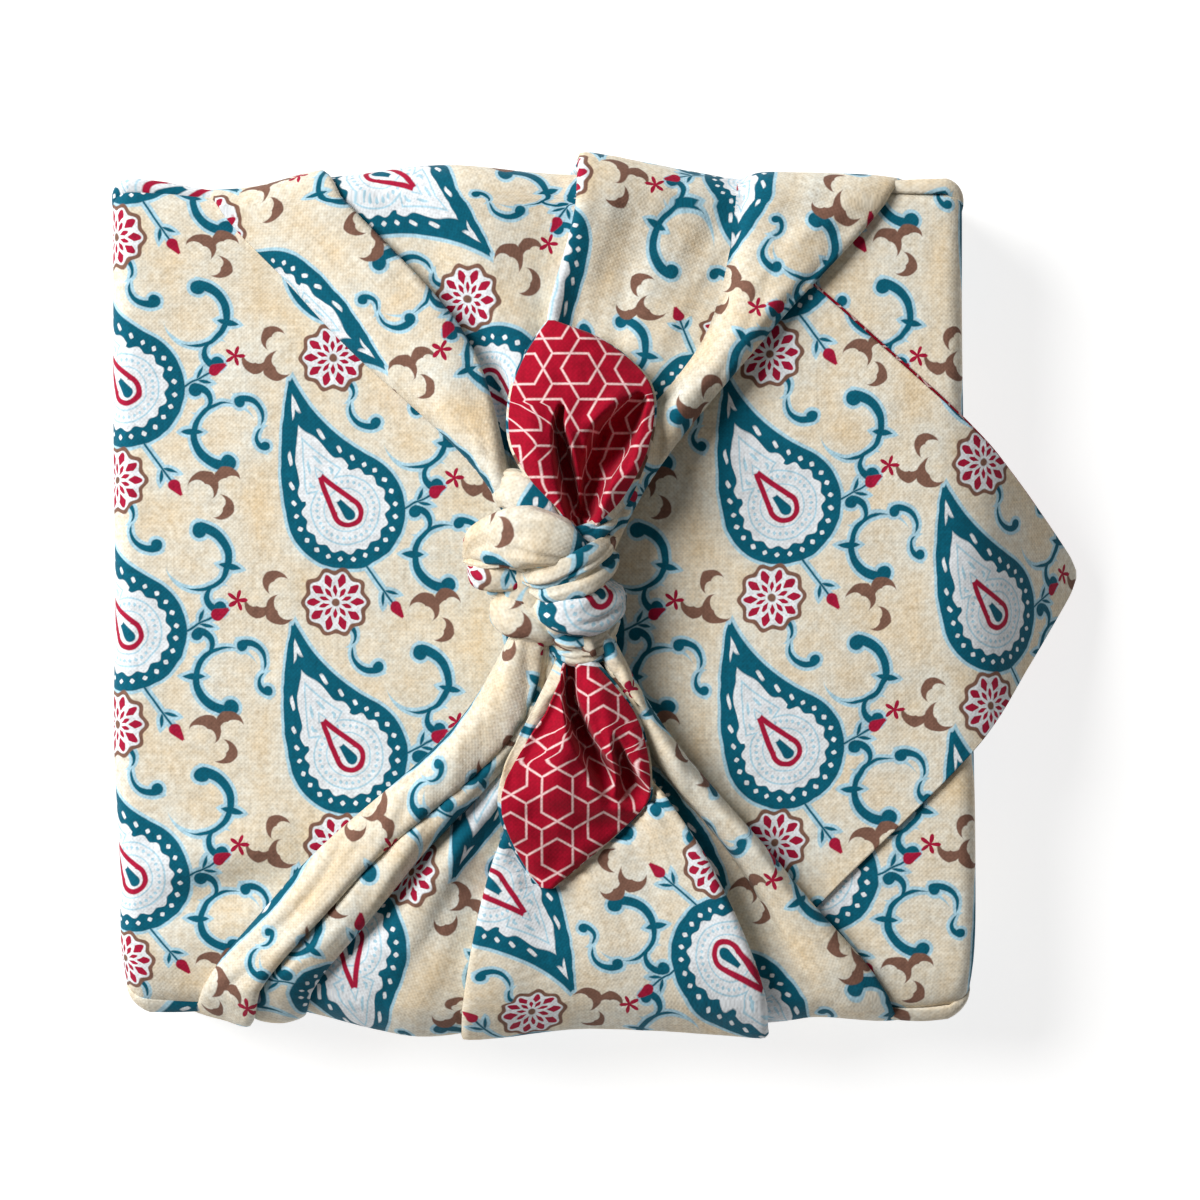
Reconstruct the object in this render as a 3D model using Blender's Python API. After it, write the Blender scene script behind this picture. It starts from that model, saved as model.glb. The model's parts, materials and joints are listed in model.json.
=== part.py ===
"""A reversible square cloth, wrapped corner over corner round a flat square parcel and tied.

Metres, +Z up. The origin is the middle of the underside, and +Y points to the upper ear of the
knot. The front of the cloth with its folds and its knot is one solid. The reverse is a thin solid
wherever it turns up: on the faces of both ears and under the tip of the crossing flap.
"""

import math
from collections import namedtuple

import bmesh
import bpy
import numpy as np
from mathutils import Vector

MM = 0.001

# Driving dimensions, in millimetres. The tables below use the same unit.
PARCEL_HALF_X = 97.2  # half the parcel's width, under the cloth of the flap
PARCEL_HALF_Y = 95.8  # half its depth, under the cloth of the tails
PARCEL_HEIGHT = 35.0
PARCEL_LEAN = 0.0105  # how far the cloth pulls the parcel's sides sideways, for each mm of depth
EDGE_RADIUS = 4.0  # of the parcel's upper edges
CORNER_RADIUS = 4.0  # of its upright corners
CORNER_STEPS = 4
FOOT_RADIUS = 1.5  # where the sides meet the flat underside
SIDE_BULGE = 0.9  # how far the -X and +X sides swell at half their height
SIDE_LEVELS = (0.3, 0.55, 0.8)  # shares of the height where the sides are cut

PLY = 1.2  # one panel of the cloth
PLY_GAP = 0.3  # between the front and the reverse

# How finely the folds are cut.
STEPS_PER_FOLD = 2
HAIRLINE = 0.01  # faces thinner than this are taken out after the joins
WALL_STEPS = 3
EDGE_STEPS = 3
TOP_STEPS = 11

# A tail rises from the foot of its side, turns over the upper edge and narrows towards the knot.
# Each row is a line that runs the whole way: x where it leaves the foot, the edge, the middle and
# the neck, and how far it stands off the parcel there.
Fold = namedtuple("Fold", "name x_foot x_edge x_mid x_neck off_foot off_edge off_mid off_neck")
TAIL_MID_Y = 62.0
TAIL_NECK_Y = 26.0
TAIL_ROOT_Y = 3.0  # inside the knot
KNOT_X = 4.0  # where the lines of both tails gather
FOOT_SWELL = 0.3  # share of its stand-off that a line has at the very foot
FOOT_REACH = 14.0  # and how far up it gains the whole of it
ROOT_GATHER = 0.40  # a line's distance from KNOT_X at the root, as a share of that at the neck
SUNK = 3.0  # how far a tail's hidden underside lies inside the parcel, and in from its edges

UPPER_FOLDS = (
    Fold("left edge, turned under", -89, -71, -43, -9, -1.2, -0.6, 0.3, 4.5),
    Fold("left edge", -94, -76, -48, -12, 1.0, 1.8, 3.4, 7),
    Fold("left band", -88, -66, -38, -10, 1.2, 3.0, 5.6, 10),
    Fold("left band, right edge", -70, -50, -20, -7.5, 1.4, 2.8, 5.2, 10),
    Fold("left band, turned under", -72, -53.5, -23, -7.6, 0.8, 1.4, 2.4, 8),
    Fold("left trough", -62, -41, -15, -5.5, 0.8, 1.4, 2.2, 7.5),
    Fold("left swell", -35, -24, -9, -3, 1.4, 2.2, 4.0, 9.5),
    Fold("middle trough", -8, -4, -5, -1, 1.0, 1.5, 2.8, 8.5),
    Fold("middle pleat", 2, 8, 1, 1.5, 1.6, 4.8, 5.2, 10),
    Fold("middle hollow", 14, 18, 9, 4, 1.2, 1.8, 3.0, 9),
    Fold("right swell", 32, 33, 24, 8, 1.5, 2.2, 3.8, 9.5),
    Fold("right trough", 44, 44, 37, 12, 1.0, 1.4, 2.4, 8),
    Fold("right pleat", 50, 49.5, 41.5, 14.5, 1.5, 2.8, 5.0, 9.5),
    Fold("right band", 72, 65, 46.5, 18, 1.4, 2.8, 5.6, 9.5),
    Fold("right edge", 94, 79.5, 51, 22.5, 1.0, 1.8, 3.6, 7),
    Fold("right edge, turned under", 89, 74, 46, 19, -1.2, -0.6, 0.3, 4.5),
)
LOWER_FOLDS = (
    Fold("left edge, turned under", -89, -78, -52, -14, -1.2, -0.6, 0.3, 3.5),
    Fold("left edge", -94, -84, -57.5, -17, 1.0, 1.8, 3.8, 6.5),
    Fold("first roll", -86, -76.5, -50, -14, 1.2, 3.2, 6.4, 9),
    Fold("first roll, right edge", -77, -70.5, -42.5, -11.5, 1.2, 2.8, 5.4, 8.6),
    Fold("deep groove", -75, -68.6, -40.5, -10, 0.8, 1.2, 1.4, 5.5),
    Fold("second roll", -68, -62.5, -35, -8, 1.4, 3.2, 6.8, 9.2),
    Fold("second groove", -60, -55.5, -28, -5.5, 1.0, 1.4, 2.4, 7),
    Fold("third roll", -50, -46, -22.5, -4, 1.4, 2.6, 5.0, 8.8),
    Fold("left hollow", -34, -29, -16.5, -2.5, 1.0, 1.4, 2.8, 7.6),
    Fold("crease", -24, -20, -12.5, -1.5, 0.8, 1.3, 2.6, 7.4),
    Fold("middle panel, left", -18, -15, -9, -0.5, 1.6, 2.8, 4.8, 9),
    Fold("middle panel", 10, 10, 6, 3, 2.0, 3.6, 3.8, 9),
    Fold("middle panel, right", 38, 37, 27, 10.5, 1.8, 3.6, 5.4, 9),
    Fold("middle panel, right edge", 48, 50.5, 38.5, 16, 1.6, 3.6, 6.4, 8.5),
    Fold("middle panel, turned under", 46, 47.5, 35, 13.5, 0.8, 1.2, 2.0, 5),
    Fold("deep hollow", 54, 56, 43, 18, 0.8, 1.1, 1.2, 3),
    Fold("right band, inner slope", 64, 66, 48.5, 21, 1.0, 2.2, 3.8, 5.5),
    Fold("right band", 78, 74, 52, 23, 1.4, 3.0, 6.2, 8),
    Fold("right edge", 94, 80.5, 54.8, 25, 1.0, 1.8, 3.8, 6.5),
    Fold("right edge, turned under", 89, 75, 50, 21.5, -1.2, -0.6, 0.3, 4),
)

# The crossing flap: one corner of the square, drawn up the -X side and laid over the parcel. It is
# as wide as the parcel until its two edges close in on the tip, which hangs over the +X side.
FLAP_HALF_Y = 94.6
FLAP_SLOPE = 0.945  # how fast the half width grows, going back from the tip
FLAP_TIP_Y = 4.2
FLAP_TIP_RADIUS = 2.2
FLAP_TIP_BLUNT = 0.45  # share of the tip's half width that is left at its very end
FLAP_REACH = 134.1  # from the parcel's middle to the tip, along the cloth
FLAP_HANG_X = 91.0  # where the tip begins to bend down
FLAP_HANG_RADIUS = 20.0
FLAP_HANG_ANGLE = 46.0  # degrees below level
FLAP_SUNK = 2.0  # how far its hidden underside lies inside the parcel
FLAP_STEPS_FLAT = 4
FLAP_STEPS_HANG = 7
FLAP_STEPS_ACROSS = 4

# The pocket corners: where a side's cloth is folded into a triangle beside each tail.
TUCK_OUT = 2.2  # how far it stands off the parcel
TUCK_PROUD = 0.5  # past its corner
TUCK_DROP = 1.6  # below the top
TUCK_INNER_X = 72.0  # how far from the middle it starts at the top
TUCK_FOOT = 8.0  # how wide it still is at the foot
TUCK_ROUNDING = 2.0  # of its outer edges

# The knot is a bundle of bands, each a flattened tube along its own path. A row gives x, y and z
# above the parcel's top, the half width across the band and the half thickness.
Turn = namedtuple("Turn", "x y up half_width half_thick")
BANDS = {
    "core": (Turn(3, 19, 8, 6, 6), Turn(2, 8, 11, 11, 9), Turn(5, -3, 10, 10, 8),
             Turn(7, -11, 9, 5, 5)),
    "upper_fold": (Turn(-11, 25, 9, 3.6, 3), Turn(-7.5, 25, 13.5, 5, 3.6),
                   Turn(-2.5, 22, 15.5, 5, 3.6), Turn(2, 18, 15, 4, 3)),
    "cap": (Turn(-17, 10.5, 11, 1.8, 2.2), Turn(-12.5, 13.5, 16.5, 5, 3.8),
            Turn(-5, 14.5, 21, 6.4, 4.4), Turn(2.5, 13.4, 21.6, 5.6, 4), Turn(9, 12, 17.5, 3, 3)),
    "loop": (Turn(-16, 8, 11.4, 2.6, 2.6), Turn(-12, 6.4, 13.4, 3.6, 3.6),
             Turn(-7.5, 5.2, 13.8, 3, 3)),
    "first_turn": (Turn(-5, 8, 15, 2.4, 2.4), Turn(1, 6.6, 20, 3.4, 3.2),
                   Turn(8, 9.2, 20, 3.4, 3.2), Turn(13.8, 12, 14.5, 2.4, 2.6)),
    "second_turn": (Turn(-4, 4.5, 13, 2.2, 2.6), Turn(2.5, 1.8, 18, 3.2, 3.2),
                    Turn(10, 4.2, 18, 3.6, 3.2), Turn(15, 9.5, 12, 2.8, 2.6)),
    "third_turn": (Turn(-1.5, 0.5, 12, 2.4, 2.8), Turn(4.5, -3.4, 16, 4, 3.4),
                   Turn(11.5, -2.4, 15, 4.2, 3.6), Turn(15.2, 4, 9, 3, 3)),
    "bulge": (Turn(-10, 1.6, 8, 3.2, 3.4), Turn(-5.6, -2.2, 9.6, 5.2, 4.8),
              Turn(-0.6, -6, 9.2, 4, 4)),
    "lower_fold": (Turn(1, -7.4, 11, 2.4, 2.8), Turn(6.5, -9.4, 12.4, 3.6, 3.4),
                   Turn(12.4, -10.8, 10.6, 2.6, 2.8)),
}
BAND_STEPS = 3  # between two turns
BAND_SIDES = 8
BAND_END = 0.45  # share of its section that a band has at either end

# The ears: the cloth's two last corners beyond the knot, each a cupped leaf. A row of an outline
# is a station from the root to the tip: both edges in plan, and the height of the leaf there.
Leaf = namedtuple("Leaf", "left_x left_y right_x right_y up")
UPPER_EAR = (
    Leaf(6.6, 13.0, 10.2, 13.0, 15.0), Leaf(2.6, 20.2, 15.4, 18.2, 16.5),
    Leaf(-4.0, 27.8, 19.6, 23.6, 17.5), Leaf(-8.2, 36.5, 24.0, 34.5, 17.0),
    Leaf(-8.0, 46.8, 25.4, 44.8, 15.5), Leaf(-5.2, 55.0, 22.6, 52.0, 13.5),
    Leaf(-1.8, 60.8, 13.6, 59.4, 11.5), Leaf(0.4, 63.8, 2.8, 63.8, 10.0),
)
LOWER_EAR = (
    Leaf(3.2, -11.8, 12.0, -13.2, 13.0), Leaf(-0.6, -20.0, 17.6, -20.0, 15.5),
    Leaf(-4.8, -28.5, 21.8, -26.8, 16.0), Leaf(-9.6, -39.0, 24.2, -36.6, 15.5),
    Leaf(-10.4, -47.4, 23.4, -45.4, 14.0), Leaf(-7.6, -55.4, 16.6, -52.8, 12.0),
    Leaf(-4.2, -61.4, 8.2, -60.0, 10.0), Leaf(-1.4, -64.8, 2.2, -65.2, 8.5),
)
# A pleat is a trough, or with a minus sign a ridge, along the leaf: where it lies across the leaf
# at the root and at its far end (0 left edge, 1 right edge), its reach from the root as a share
# of the leaf, its half width across the leaf and its depth.
Pleat = namedtuple("Pleat", "name root far reach_from reach_to half_width depth")
UPPER_EAR_PLEATS = (
    Pleat("left trough", 0.50, 0.30, 0.05, 0.66, 0.12, 5.4),
    Pleat("right trough", 0.60, 0.68, 0.08, 0.74, 0.15, 5.6),
    Pleat("left roll", 0.10, 0.05, 0.10, 0.70, 0.16, -1.6),
    Pleat("right roll", 0.92, 0.98, 0.10, 0.80, 0.14, -2.4),
    Pleat("crown", 0.50, 0.45, 0.62, 1.10, 0.42, -2.6),
)
LOWER_EAR_PLEATS = (
    Pleat("middle groove", 0.40, 0.62, 0.02, 0.66, 0.09, 4.2),
    Pleat("right groove", 0.60, 0.84, 0.22, 0.76, 0.08, 3.6),
    Pleat("left groove", 0.34, 0.16, 0.04, 0.52, 0.10, 2.8),
    Pleat("middle ridge", 0.36, 0.40, 0.10, 0.80, 0.12, -1.6),
    Pleat("right ridge", 0.74, 0.72, 0.05, 0.70, 0.10, -2.0),
)
PLEAT_FADE = 0.8  # how soon a pleat gains its depth
EAR_STEPS_ALONG = 13
EAR_STEPS_ACROSS = 11
EAR_EDGE_DROP = 2.2  # how far both long edges turn down
REVERSE_TIP_SKIP = 2  # stations of the hanging tip that lie too near the side
REVERSE_TIP_INSET = 1.0
REVERSE_SKIP = 1  # stations at the root that the knot hides
REVERSE_TRIM = (0.9, 0.2)  # of a step across, where the front shows beside it, at root and tip

CREAM = (0.72, 0.62, 0.47, 1.0)
CRIMSON = (0.42, 0.012, 0.035, 1.0)
COTTON_ROUGHNESS = 0.85


def clear_scene():
    for thing in list(bpy.data.objects):
        bpy.data.objects.remove(thing, do_unlink=True)


def cotton(name, colour):
    material = bpy.data.materials.new(name)
    material.use_nodes = True
    shader = material.node_tree.nodes["Principled BSDF"]
    shader.inputs["Base Color"].default_value = colour
    shader.inputs["Roughness"].default_value = COTTON_ROUGHNESS
    shader.inputs["Metallic"].default_value = 0.0
    return material


def smooth_through(places, values, at):
    """A smooth curve through values given at rising places, read at one place or many."""
    places = np.asarray(places, float)
    values = np.asarray(values, float)
    spans = np.diff(places)
    slopes = (np.diff(values, axis=0).T / spans).T
    middle = ((slopes[:-1].T * spans[1:] + slopes[1:].T * spans[:-1]) / (spans[1:] + spans[:-1])).T
    tangents = np.concatenate([slopes[:1], middle, slopes[-1:]])
    at = np.clip(np.asarray(at, float), places[0], places[-1])
    span = np.clip(np.searchsorted(places, at, side="right") - 1, 0, len(spans) - 1)
    share = (at - places[span]) / spans[span]
    shape = share.shape + (1,) * (values.ndim - 1)
    t = share.reshape(shape)
    h = spans[span].reshape(shape)
    start = values[span] * (2 * t**3 - 3 * t**2 + 1) + tangents[span] * h * (t**3 - 2 * t**2 + t)
    end = values[span + 1] * (3 * t**2 - 2 * t**3) + tangents[span + 1] * h * (t**3 - t**2)
    return start + end


def solid_from_rings(name, rings):
    """A closed solid through equal rings of points in millimetres, with a flat cap at each end."""
    mesh = bpy.data.meshes.new(name)
    shape = bmesh.new()
    rows = [[shape.verts.new(Vector(point) * MM) for point in ring] for ring in rings]
    for near, far in zip(rows, rows[1:]):
        for i in range(len(near)):
            j = (i + 1) % len(near)
            shape.faces.new((near[i], near[j], far[j], far[i]))
    shape.faces.new(rows[0])
    shape.faces.new(rows[-1])
    bmesh.ops.recalc_face_normals(shape, faces=shape.faces)
    if shape.calc_volume(signed=True) < 0:
        bmesh.ops.reverse_faces(shape, faces=shape.faces)
    shape.to_mesh(mesh)
    shape.free()
    thing = bpy.data.objects.new(name, mesh)
    bpy.context.scene.collection.objects.link(thing)
    return thing


def parcel():
    """The wrapped parcel without its tails: a low block, rounded, with two swollen sides."""
    levels = [(0.0, FOOT_RADIUS), (FOOT_RADIUS * 0.3, FOOT_RADIUS * 0.3), (FOOT_RADIUS, 0.0)]
    levels += [(PARCEL_HEIGHT * share, 0.0) for share in SIDE_LEVELS]
    for step in range(EDGE_STEPS + 2):
        turn = math.radians(90) * step / (EDGE_STEPS + 1)
        height = PARCEL_HEIGHT - EDGE_RADIUS * (1 - math.sin(turn))
        levels.append((height, EDGE_RADIUS * (1 - math.cos(turn))))
    rings = []
    for height, inset in levels:
        swell = SIDE_BULGE * math.sin(math.pi * height / PARCEL_HEIGHT)
        ring = []
        for quarter in range(4):
            sign_x = 1 if quarter in (0, 3) else -1
            sign_y = 1 if quarter in (0, 1) else -1
            for step in range(CORNER_STEPS + 1):
                turn = math.radians(90) * (quarter + step / CORNER_STEPS)
                x = sign_x * (PARCEL_HALF_X - inset - CORNER_RADIUS) + CORNER_RADIUS * math.cos(turn)
                y = sign_y * (PARCEL_HALF_Y - inset - CORNER_RADIUS) + CORNER_RADIUS * math.sin(turn)
                ring.append((x - PARCEL_LEAN * y, y, height))
            if quarter in (1, 3):  # the middle of the -X side or of the +X side comes next
                ring.append((sign_x * (PARCEL_HALF_X - inset + swell), 0.0, height))
        rings.append(ring)
    return solid_from_rings("parcel_body", rings)


def carrier(travel):
    """The parcel's side and top in section, by the way travelled up from its foot: the point
    (y, z), the way out from it (y, z) and a point deep inside (y, z)."""
    wall = PARCEL_HEIGHT - EDGE_RADIUS
    arc = math.radians(90) * EDGE_RADIUS
    deep_y = PARCEL_HALF_Y - EDGE_RADIUS - SUNK
    deep_z = PARCEL_HEIGHT - EDGE_RADIUS - SUNK
    inside = (deep_y, SUNK + (deep_z - SUNK) * min(travel / (wall + arc), 1))
    if travel <= wall:
        return (PARCEL_HALF_Y, travel), (1.0, 0.0), inside
    if travel <= wall + arc:
        turn = (travel - wall) / EDGE_RADIUS
        point = (
            PARCEL_HALF_Y - EDGE_RADIUS * (1 - math.cos(turn)),
            wall + EDGE_RADIUS * math.sin(turn),
        )
        return point, (math.cos(turn), math.sin(turn)), inside
    y = PARCEL_HALF_Y - EDGE_RADIUS - (travel - wall - arc)
    return (y, PARCEL_HEIGHT), (0.0, 1.0), (y - SUNK, deep_z)


def travels():
    """The stations along a tail, from the foot of the side to inside the knot."""
    wall = PARCEL_HEIGHT - EDGE_RADIUS
    arc = math.radians(90) * EDGE_RADIUS
    top = PARCEL_HALF_Y - EDGE_RADIUS - TAIL_ROOT_Y
    low = FOOT_RADIUS / 2
    stations = [low + (wall - low) * i / WALL_STEPS for i in range(WALL_STEPS)]
    stations += [wall + arc * i / EDGE_STEPS for i in range(EDGE_STEPS)]
    stations += [wall + arc + top * i / TOP_STEPS for i in range(TOP_STEPS + 1)]
    return stations


def tail(name, folds, side):
    """One tail with its side cloth, as a solid whose underside is sunk in the parcel."""
    wall = PARCEL_HEIGHT - EDGE_RADIUS
    arc = math.radians(90) * EDGE_RADIUS
    start = PARCEL_HALF_Y - EDGE_RADIUS + wall + arc
    places = [0, wall + arc / 2, start - TAIL_MID_Y, start - TAIL_NECK_Y, start - TAIL_ROOT_Y]
    table = np.array([fold[1:] for fold in folds], float)
    root_x = KNOT_X + (table[:, 3] - KNOT_X) * ROOT_GATHER
    lines = np.stack([
        np.column_stack([table[:, :4], root_x]),
        np.column_stack([table[:, 4:], table[:, 7]]),
    ], axis=2)  # fold, place, (x, off)
    across = np.linspace(0, len(folds) - 1, (len(folds) - 1) * STEPS_PER_FOLD + 1)
    rings = []
    for travel in travels():
        (y, z), (out_y, out_z), (deep_y, deep_z) = carrier(travel)
        at_station = np.array([smooth_through(places, line, [travel])[0] for line in lines])
        section = smooth_through(range(len(folds)), at_station, across)
        swell = min(FOOT_SWELL + travel / FOOT_REACH, 1.0)
        ring = [
            (x, side * (y + off * swell * out_y), z + off * swell * out_z) for x, off in section
        ]
        for x in (at_station[-1][0] - SUNK, at_station[0][0] + SUNK):
            ring.append((x, side * deep_y, deep_z))
        rings.append(ring)
    return solid_from_rings(name, rings)


def flap_line(travel):
    """The flap in side view, by the way travelled from the parcel's middle towards its tip, with
    the way round the -X edge and down that side as less than nothing: x, z and the way out."""
    level = PARCEL_HALF_X - EDGE_RADIUS
    arc = math.radians(90) * EDGE_RADIUS
    if travel < -level:
        turn = min((-level - travel) / EDGE_RADIUS, math.radians(90))
        x = -level - EDGE_RADIUS * math.sin(turn)
        down = max(-level - arc - travel, 0.0)
        z = PARCEL_HEIGHT - EDGE_RADIUS * (1 - math.cos(turn)) - down
        return x, z, (-math.sin(turn), math.cos(turn))
    if travel < FLAP_HANG_X:
        return travel, PARCEL_HEIGHT, (0.0, 1.0)
    most = math.radians(FLAP_HANG_ANGLE)
    bend = min((travel - FLAP_HANG_X) / FLAP_HANG_RADIUS, most)
    straight = max(travel - FLAP_HANG_X - most * FLAP_HANG_RADIUS, 0.0)
    x = FLAP_HANG_X + FLAP_HANG_RADIUS * math.sin(bend) + straight * math.cos(bend)
    z = PARCEL_HEIGHT - FLAP_HANG_RADIUS * (1 - math.cos(bend)) - straight * math.sin(bend)
    return x, z, (math.sin(bend), math.cos(bend))


def flap_stations():
    """The stations along the flap, from the foot of the -X side to the tip."""
    level = PARCEL_HALF_X - EDGE_RADIUS
    arc = math.radians(90) * EDGE_RADIUS
    foot = -level - arc - (PARCEL_HEIGHT - EDGE_RADIUS - FOOT_RADIUS)
    stations = [foot + (PARCEL_HEIGHT - EDGE_RADIUS) * i / WALL_STEPS for i in range(WALL_STEPS)]
    stations += [-level - arc * (1 - i / EDGE_STEPS) for i in range(EDGE_STEPS)]
    flat = FLAP_HANG_X + level
    stations += [-level + flat * i / FLAP_STEPS_FLAT for i in range(FLAP_STEPS_FLAT)]
    hang = FLAP_REACH - FLAP_HANG_X
    stations += [FLAP_HANG_X + hang * i / FLAP_STEPS_HANG for i in range(FLAP_STEPS_HANG)]
    return stations + [FLAP_REACH - FLAP_TIP_RADIUS * 0.4, FLAP_REACH]


def flap_sides(travel):
    """Where the flap's two edges are, across the way that it travels."""
    left = FLAP_REACH - travel
    half = min(left * FLAP_SLOPE + FLAP_TIP_RADIUS, FLAP_HALF_Y)
    if left < FLAP_TIP_RADIUS:
        round_off = math.sqrt(1 - (1 - left / FLAP_TIP_RADIUS) ** 2)
        half *= FLAP_TIP_BLUNT + (1 - FLAP_TIP_BLUNT) * round_off
    centre = FLAP_TIP_Y * (1 - (half / FLAP_HALF_Y))
    return centre - half, centre + half


def flap(name, start, low, high, sunk=0.0, inset=0.0):
    """The flap from a station to its tip, between two heights off the line that it follows, and
    sunk in the parcel by as much again where it lies on it."""
    rings = []
    for travel in flap_stations()[start:]:
        x, z, (out_x, out_z) = flap_line(travel - inset)
        lower, upper = flap_sides(travel)
        margin = min(inset, (upper - lower) / 4)
        shares = [i / FLAP_STEPS_ACROSS for i in range(FLAP_STEPS_ACROSS + 1)]
        across = [lower + margin + (upper - lower - 2 * margin) * share for share in shares]
        under = low - sunk if travel < FLAP_HANG_X else low
        ring = [(x - PARCEL_LEAN * y + high * out_x, y, z + high * out_z) for y in across]
        ring += [
            (x - PARCEL_LEAN * y + under * out_x, y, z + under * out_z) for y in reversed(across)
        ]
        rings.append(ring)
    return solid_from_rings(name, rings)


def tuck(name, sign_x, sign_y):
    """One pocket corner: a triangle of doubled cloth against the side, point down."""
    top = PARCEL_HEIGHT - TUCK_DROP
    corner = PARCEL_HALF_X - PARCEL_LEAN * sign_y * sign_x * PARCEL_HALF_Y + TUCK_PROUD
    rings = []
    for share in (-1.6, 0.4, 1.0):
        y = sign_y * (PARCEL_HALF_Y + TUCK_OUT * share)
        rounding = TUCK_ROUNDING * max(share, 0.0) ** 2
        outer = sign_x * (corner - rounding)
        rings.append([
            (outer, y, top - rounding * 0.3),
            (sign_x * TUCK_INNER_X, y, top - rounding * 0.3),
            (sign_x * (corner - TUCK_FOOT), y, FOOT_RADIUS),
            (outer, y, FOOT_RADIUS),
        ])
    return solid_from_rings(name, rings)


def band(name, turns, grow=0.0):
    """One band of the knot: a flattened tube through its turns, its flat side out."""
    table = np.array(turns, float)
    at = np.linspace(0, len(turns) - 1, (len(turns) - 1) * BAND_STEPS + 1)
    rows = smooth_through(range(len(turns)), table, at)
    points = rows[:, :3] + (0, 0, PARCEL_HEIGHT)
    rings = []
    for i, (point, row) in enumerate(zip(points, rows)):
        ahead = Vector(points[min(i + 1, len(points) - 1)] - points[max(i - 1, 0)]).normalized()
        side = ahead.cross(Vector((0, 0, 1))).normalized()
        out = side.cross(ahead).normalized()
        end = BAND_END if i in (0, len(points) - 1) else 1.0
        ring = []
        for step in range(BAND_SIDES):
            turn = 2 * math.pi * step / BAND_SIDES
            wide = (row[3] * end + grow) * math.cos(turn)
            thick = (row[4] * end + grow) * math.sin(turn)
            ring.append(Vector(point) + side * wide + out * thick)
        rings.append(ring)
    return solid_from_rings(name, rings)


def pleat_depth(pleats, along, across):
    """How deep the pleats of an ear make it at one place, both given as shares of the leaf."""
    depth = 0.0
    for pleat in pleats:
        share = (along - pleat.reach_from) / (pleat.reach_to - pleat.reach_from)
        if 0 < share < 1:
            middle = pleat.root + (pleat.far - pleat.root) * share
            swell = math.sin(math.pi * share) ** PLEAT_FADE
            off = (across - middle) / pleat.half_width
            depth += pleat.depth * swell * math.exp(-off * off)
    return depth


def ear(name, outline, pleats, low, high, skip=0, trim=(0.0, 0.0)):
    """A leaf of cloth between two heights off the ear's surface. It starts some stations from the
    root, and its long edges are trimmed by a share of a step, at the root and at the tip."""
    places = np.linspace(0, 1, len(outline))
    rings = []
    for station in range(skip, EAR_STEPS_ALONG + 1):
        along = station / EAR_STEPS_ALONG
        leaf = Leaf(*smooth_through(places, np.array(outline, float), [along])[0])
        surface = []
        for step in range(EAR_STEPS_ACROSS + 1):
            across = step / EAR_STEPS_ACROSS
            x = leaf.left_x + (leaf.right_x - leaf.left_x) * across
            y = leaf.left_y + (leaf.right_y - leaf.left_y) * across
            edge = EAR_EDGE_DROP * abs(2 * across - 1) ** 4
            z = PARCEL_HEIGHT + leaf.up - edge - pleat_depth(pleats, along, across)
            surface.append(Vector((x, y, z)))
        share = trim[0] + (trim[1] - trim[0]) * along
        surface[0] = surface[0].lerp(surface[1], share)
        surface[-1] = surface[-1].lerp(surface[-2], share)
        ring = [point + Vector((0, 0, high)) for point in surface]
        ring += [point + Vector((0, 0, low)) for point in reversed(surface)]
        rings.append(ring)
    return solid_from_rings(name, rings)


def combine(whole, operation, piece):
    """Joins a piece to the whole, or cuts it from the whole, and hides it."""
    step = whole.modifiers.new(f"{operation.lower()}_{piece.name}", "BOOLEAN")
    step.operation = operation
    step.solver = "MANIFOLD"
    step.object = piece
    piece.hide_render = True
    piece.display_type = "WIRE"


def settle(thing):
    """Applies a thing's modifiers and takes out the hairline faces that they leave."""
    bpy.context.view_layer.update()
    worked = thing.evaluated_get(bpy.context.evaluated_depsgraph_get())
    mesh = bpy.data.meshes.new_from_object(worked)
    shape = bmesh.new()
    shape.from_mesh(mesh)
    bmesh.ops.triangulate(shape, faces=shape.faces)
    bmesh.ops.remove_doubles(shape, verts=shape.verts, dist=HAIRLINE * MM)
    bmesh.ops.dissolve_degenerate(shape, edges=shape.edges, dist=HAIRLINE * MM)
    shape.to_mesh(mesh)
    shape.free()
    thing.modifiers.clear()
    thing.data = mesh


def front(material):
    """The cream front of the whole wrap, as one solid."""
    whole = parcel()
    whole.name = "wrap_cloth"
    combine(whole, "UNION", flap("crossing_flap", 0, 0.0, PLY, FLAP_SUNK))
    for number, (sign_x, sign_y) in enumerate(((1, 1), (-1, 1), (-1, -1), (1, -1)), 1):
        combine(whole, "UNION", tuck(f"tuck_{number}", sign_x, sign_y))
    combine(whole, "UNION", tail("upper_tail", UPPER_FOLDS, 1))
    combine(whole, "UNION", tail("lower_tail", LOWER_FOLDS, -1))
    for name, turns in BANDS.items():
        combine(whole, "UNION", band("knot_" + name, turns))
    combine(whole, "UNION", ear("upper_ear_front", UPPER_EAR, UPPER_EAR_PLEATS, -PLY, 0))
    combine(whole, "UNION", ear("lower_ear_front", LOWER_EAR, LOWER_EAR_PLEATS, -PLY, 0))
    settle(whole)
    whole.data.materials.append(material)
    return whole


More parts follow.
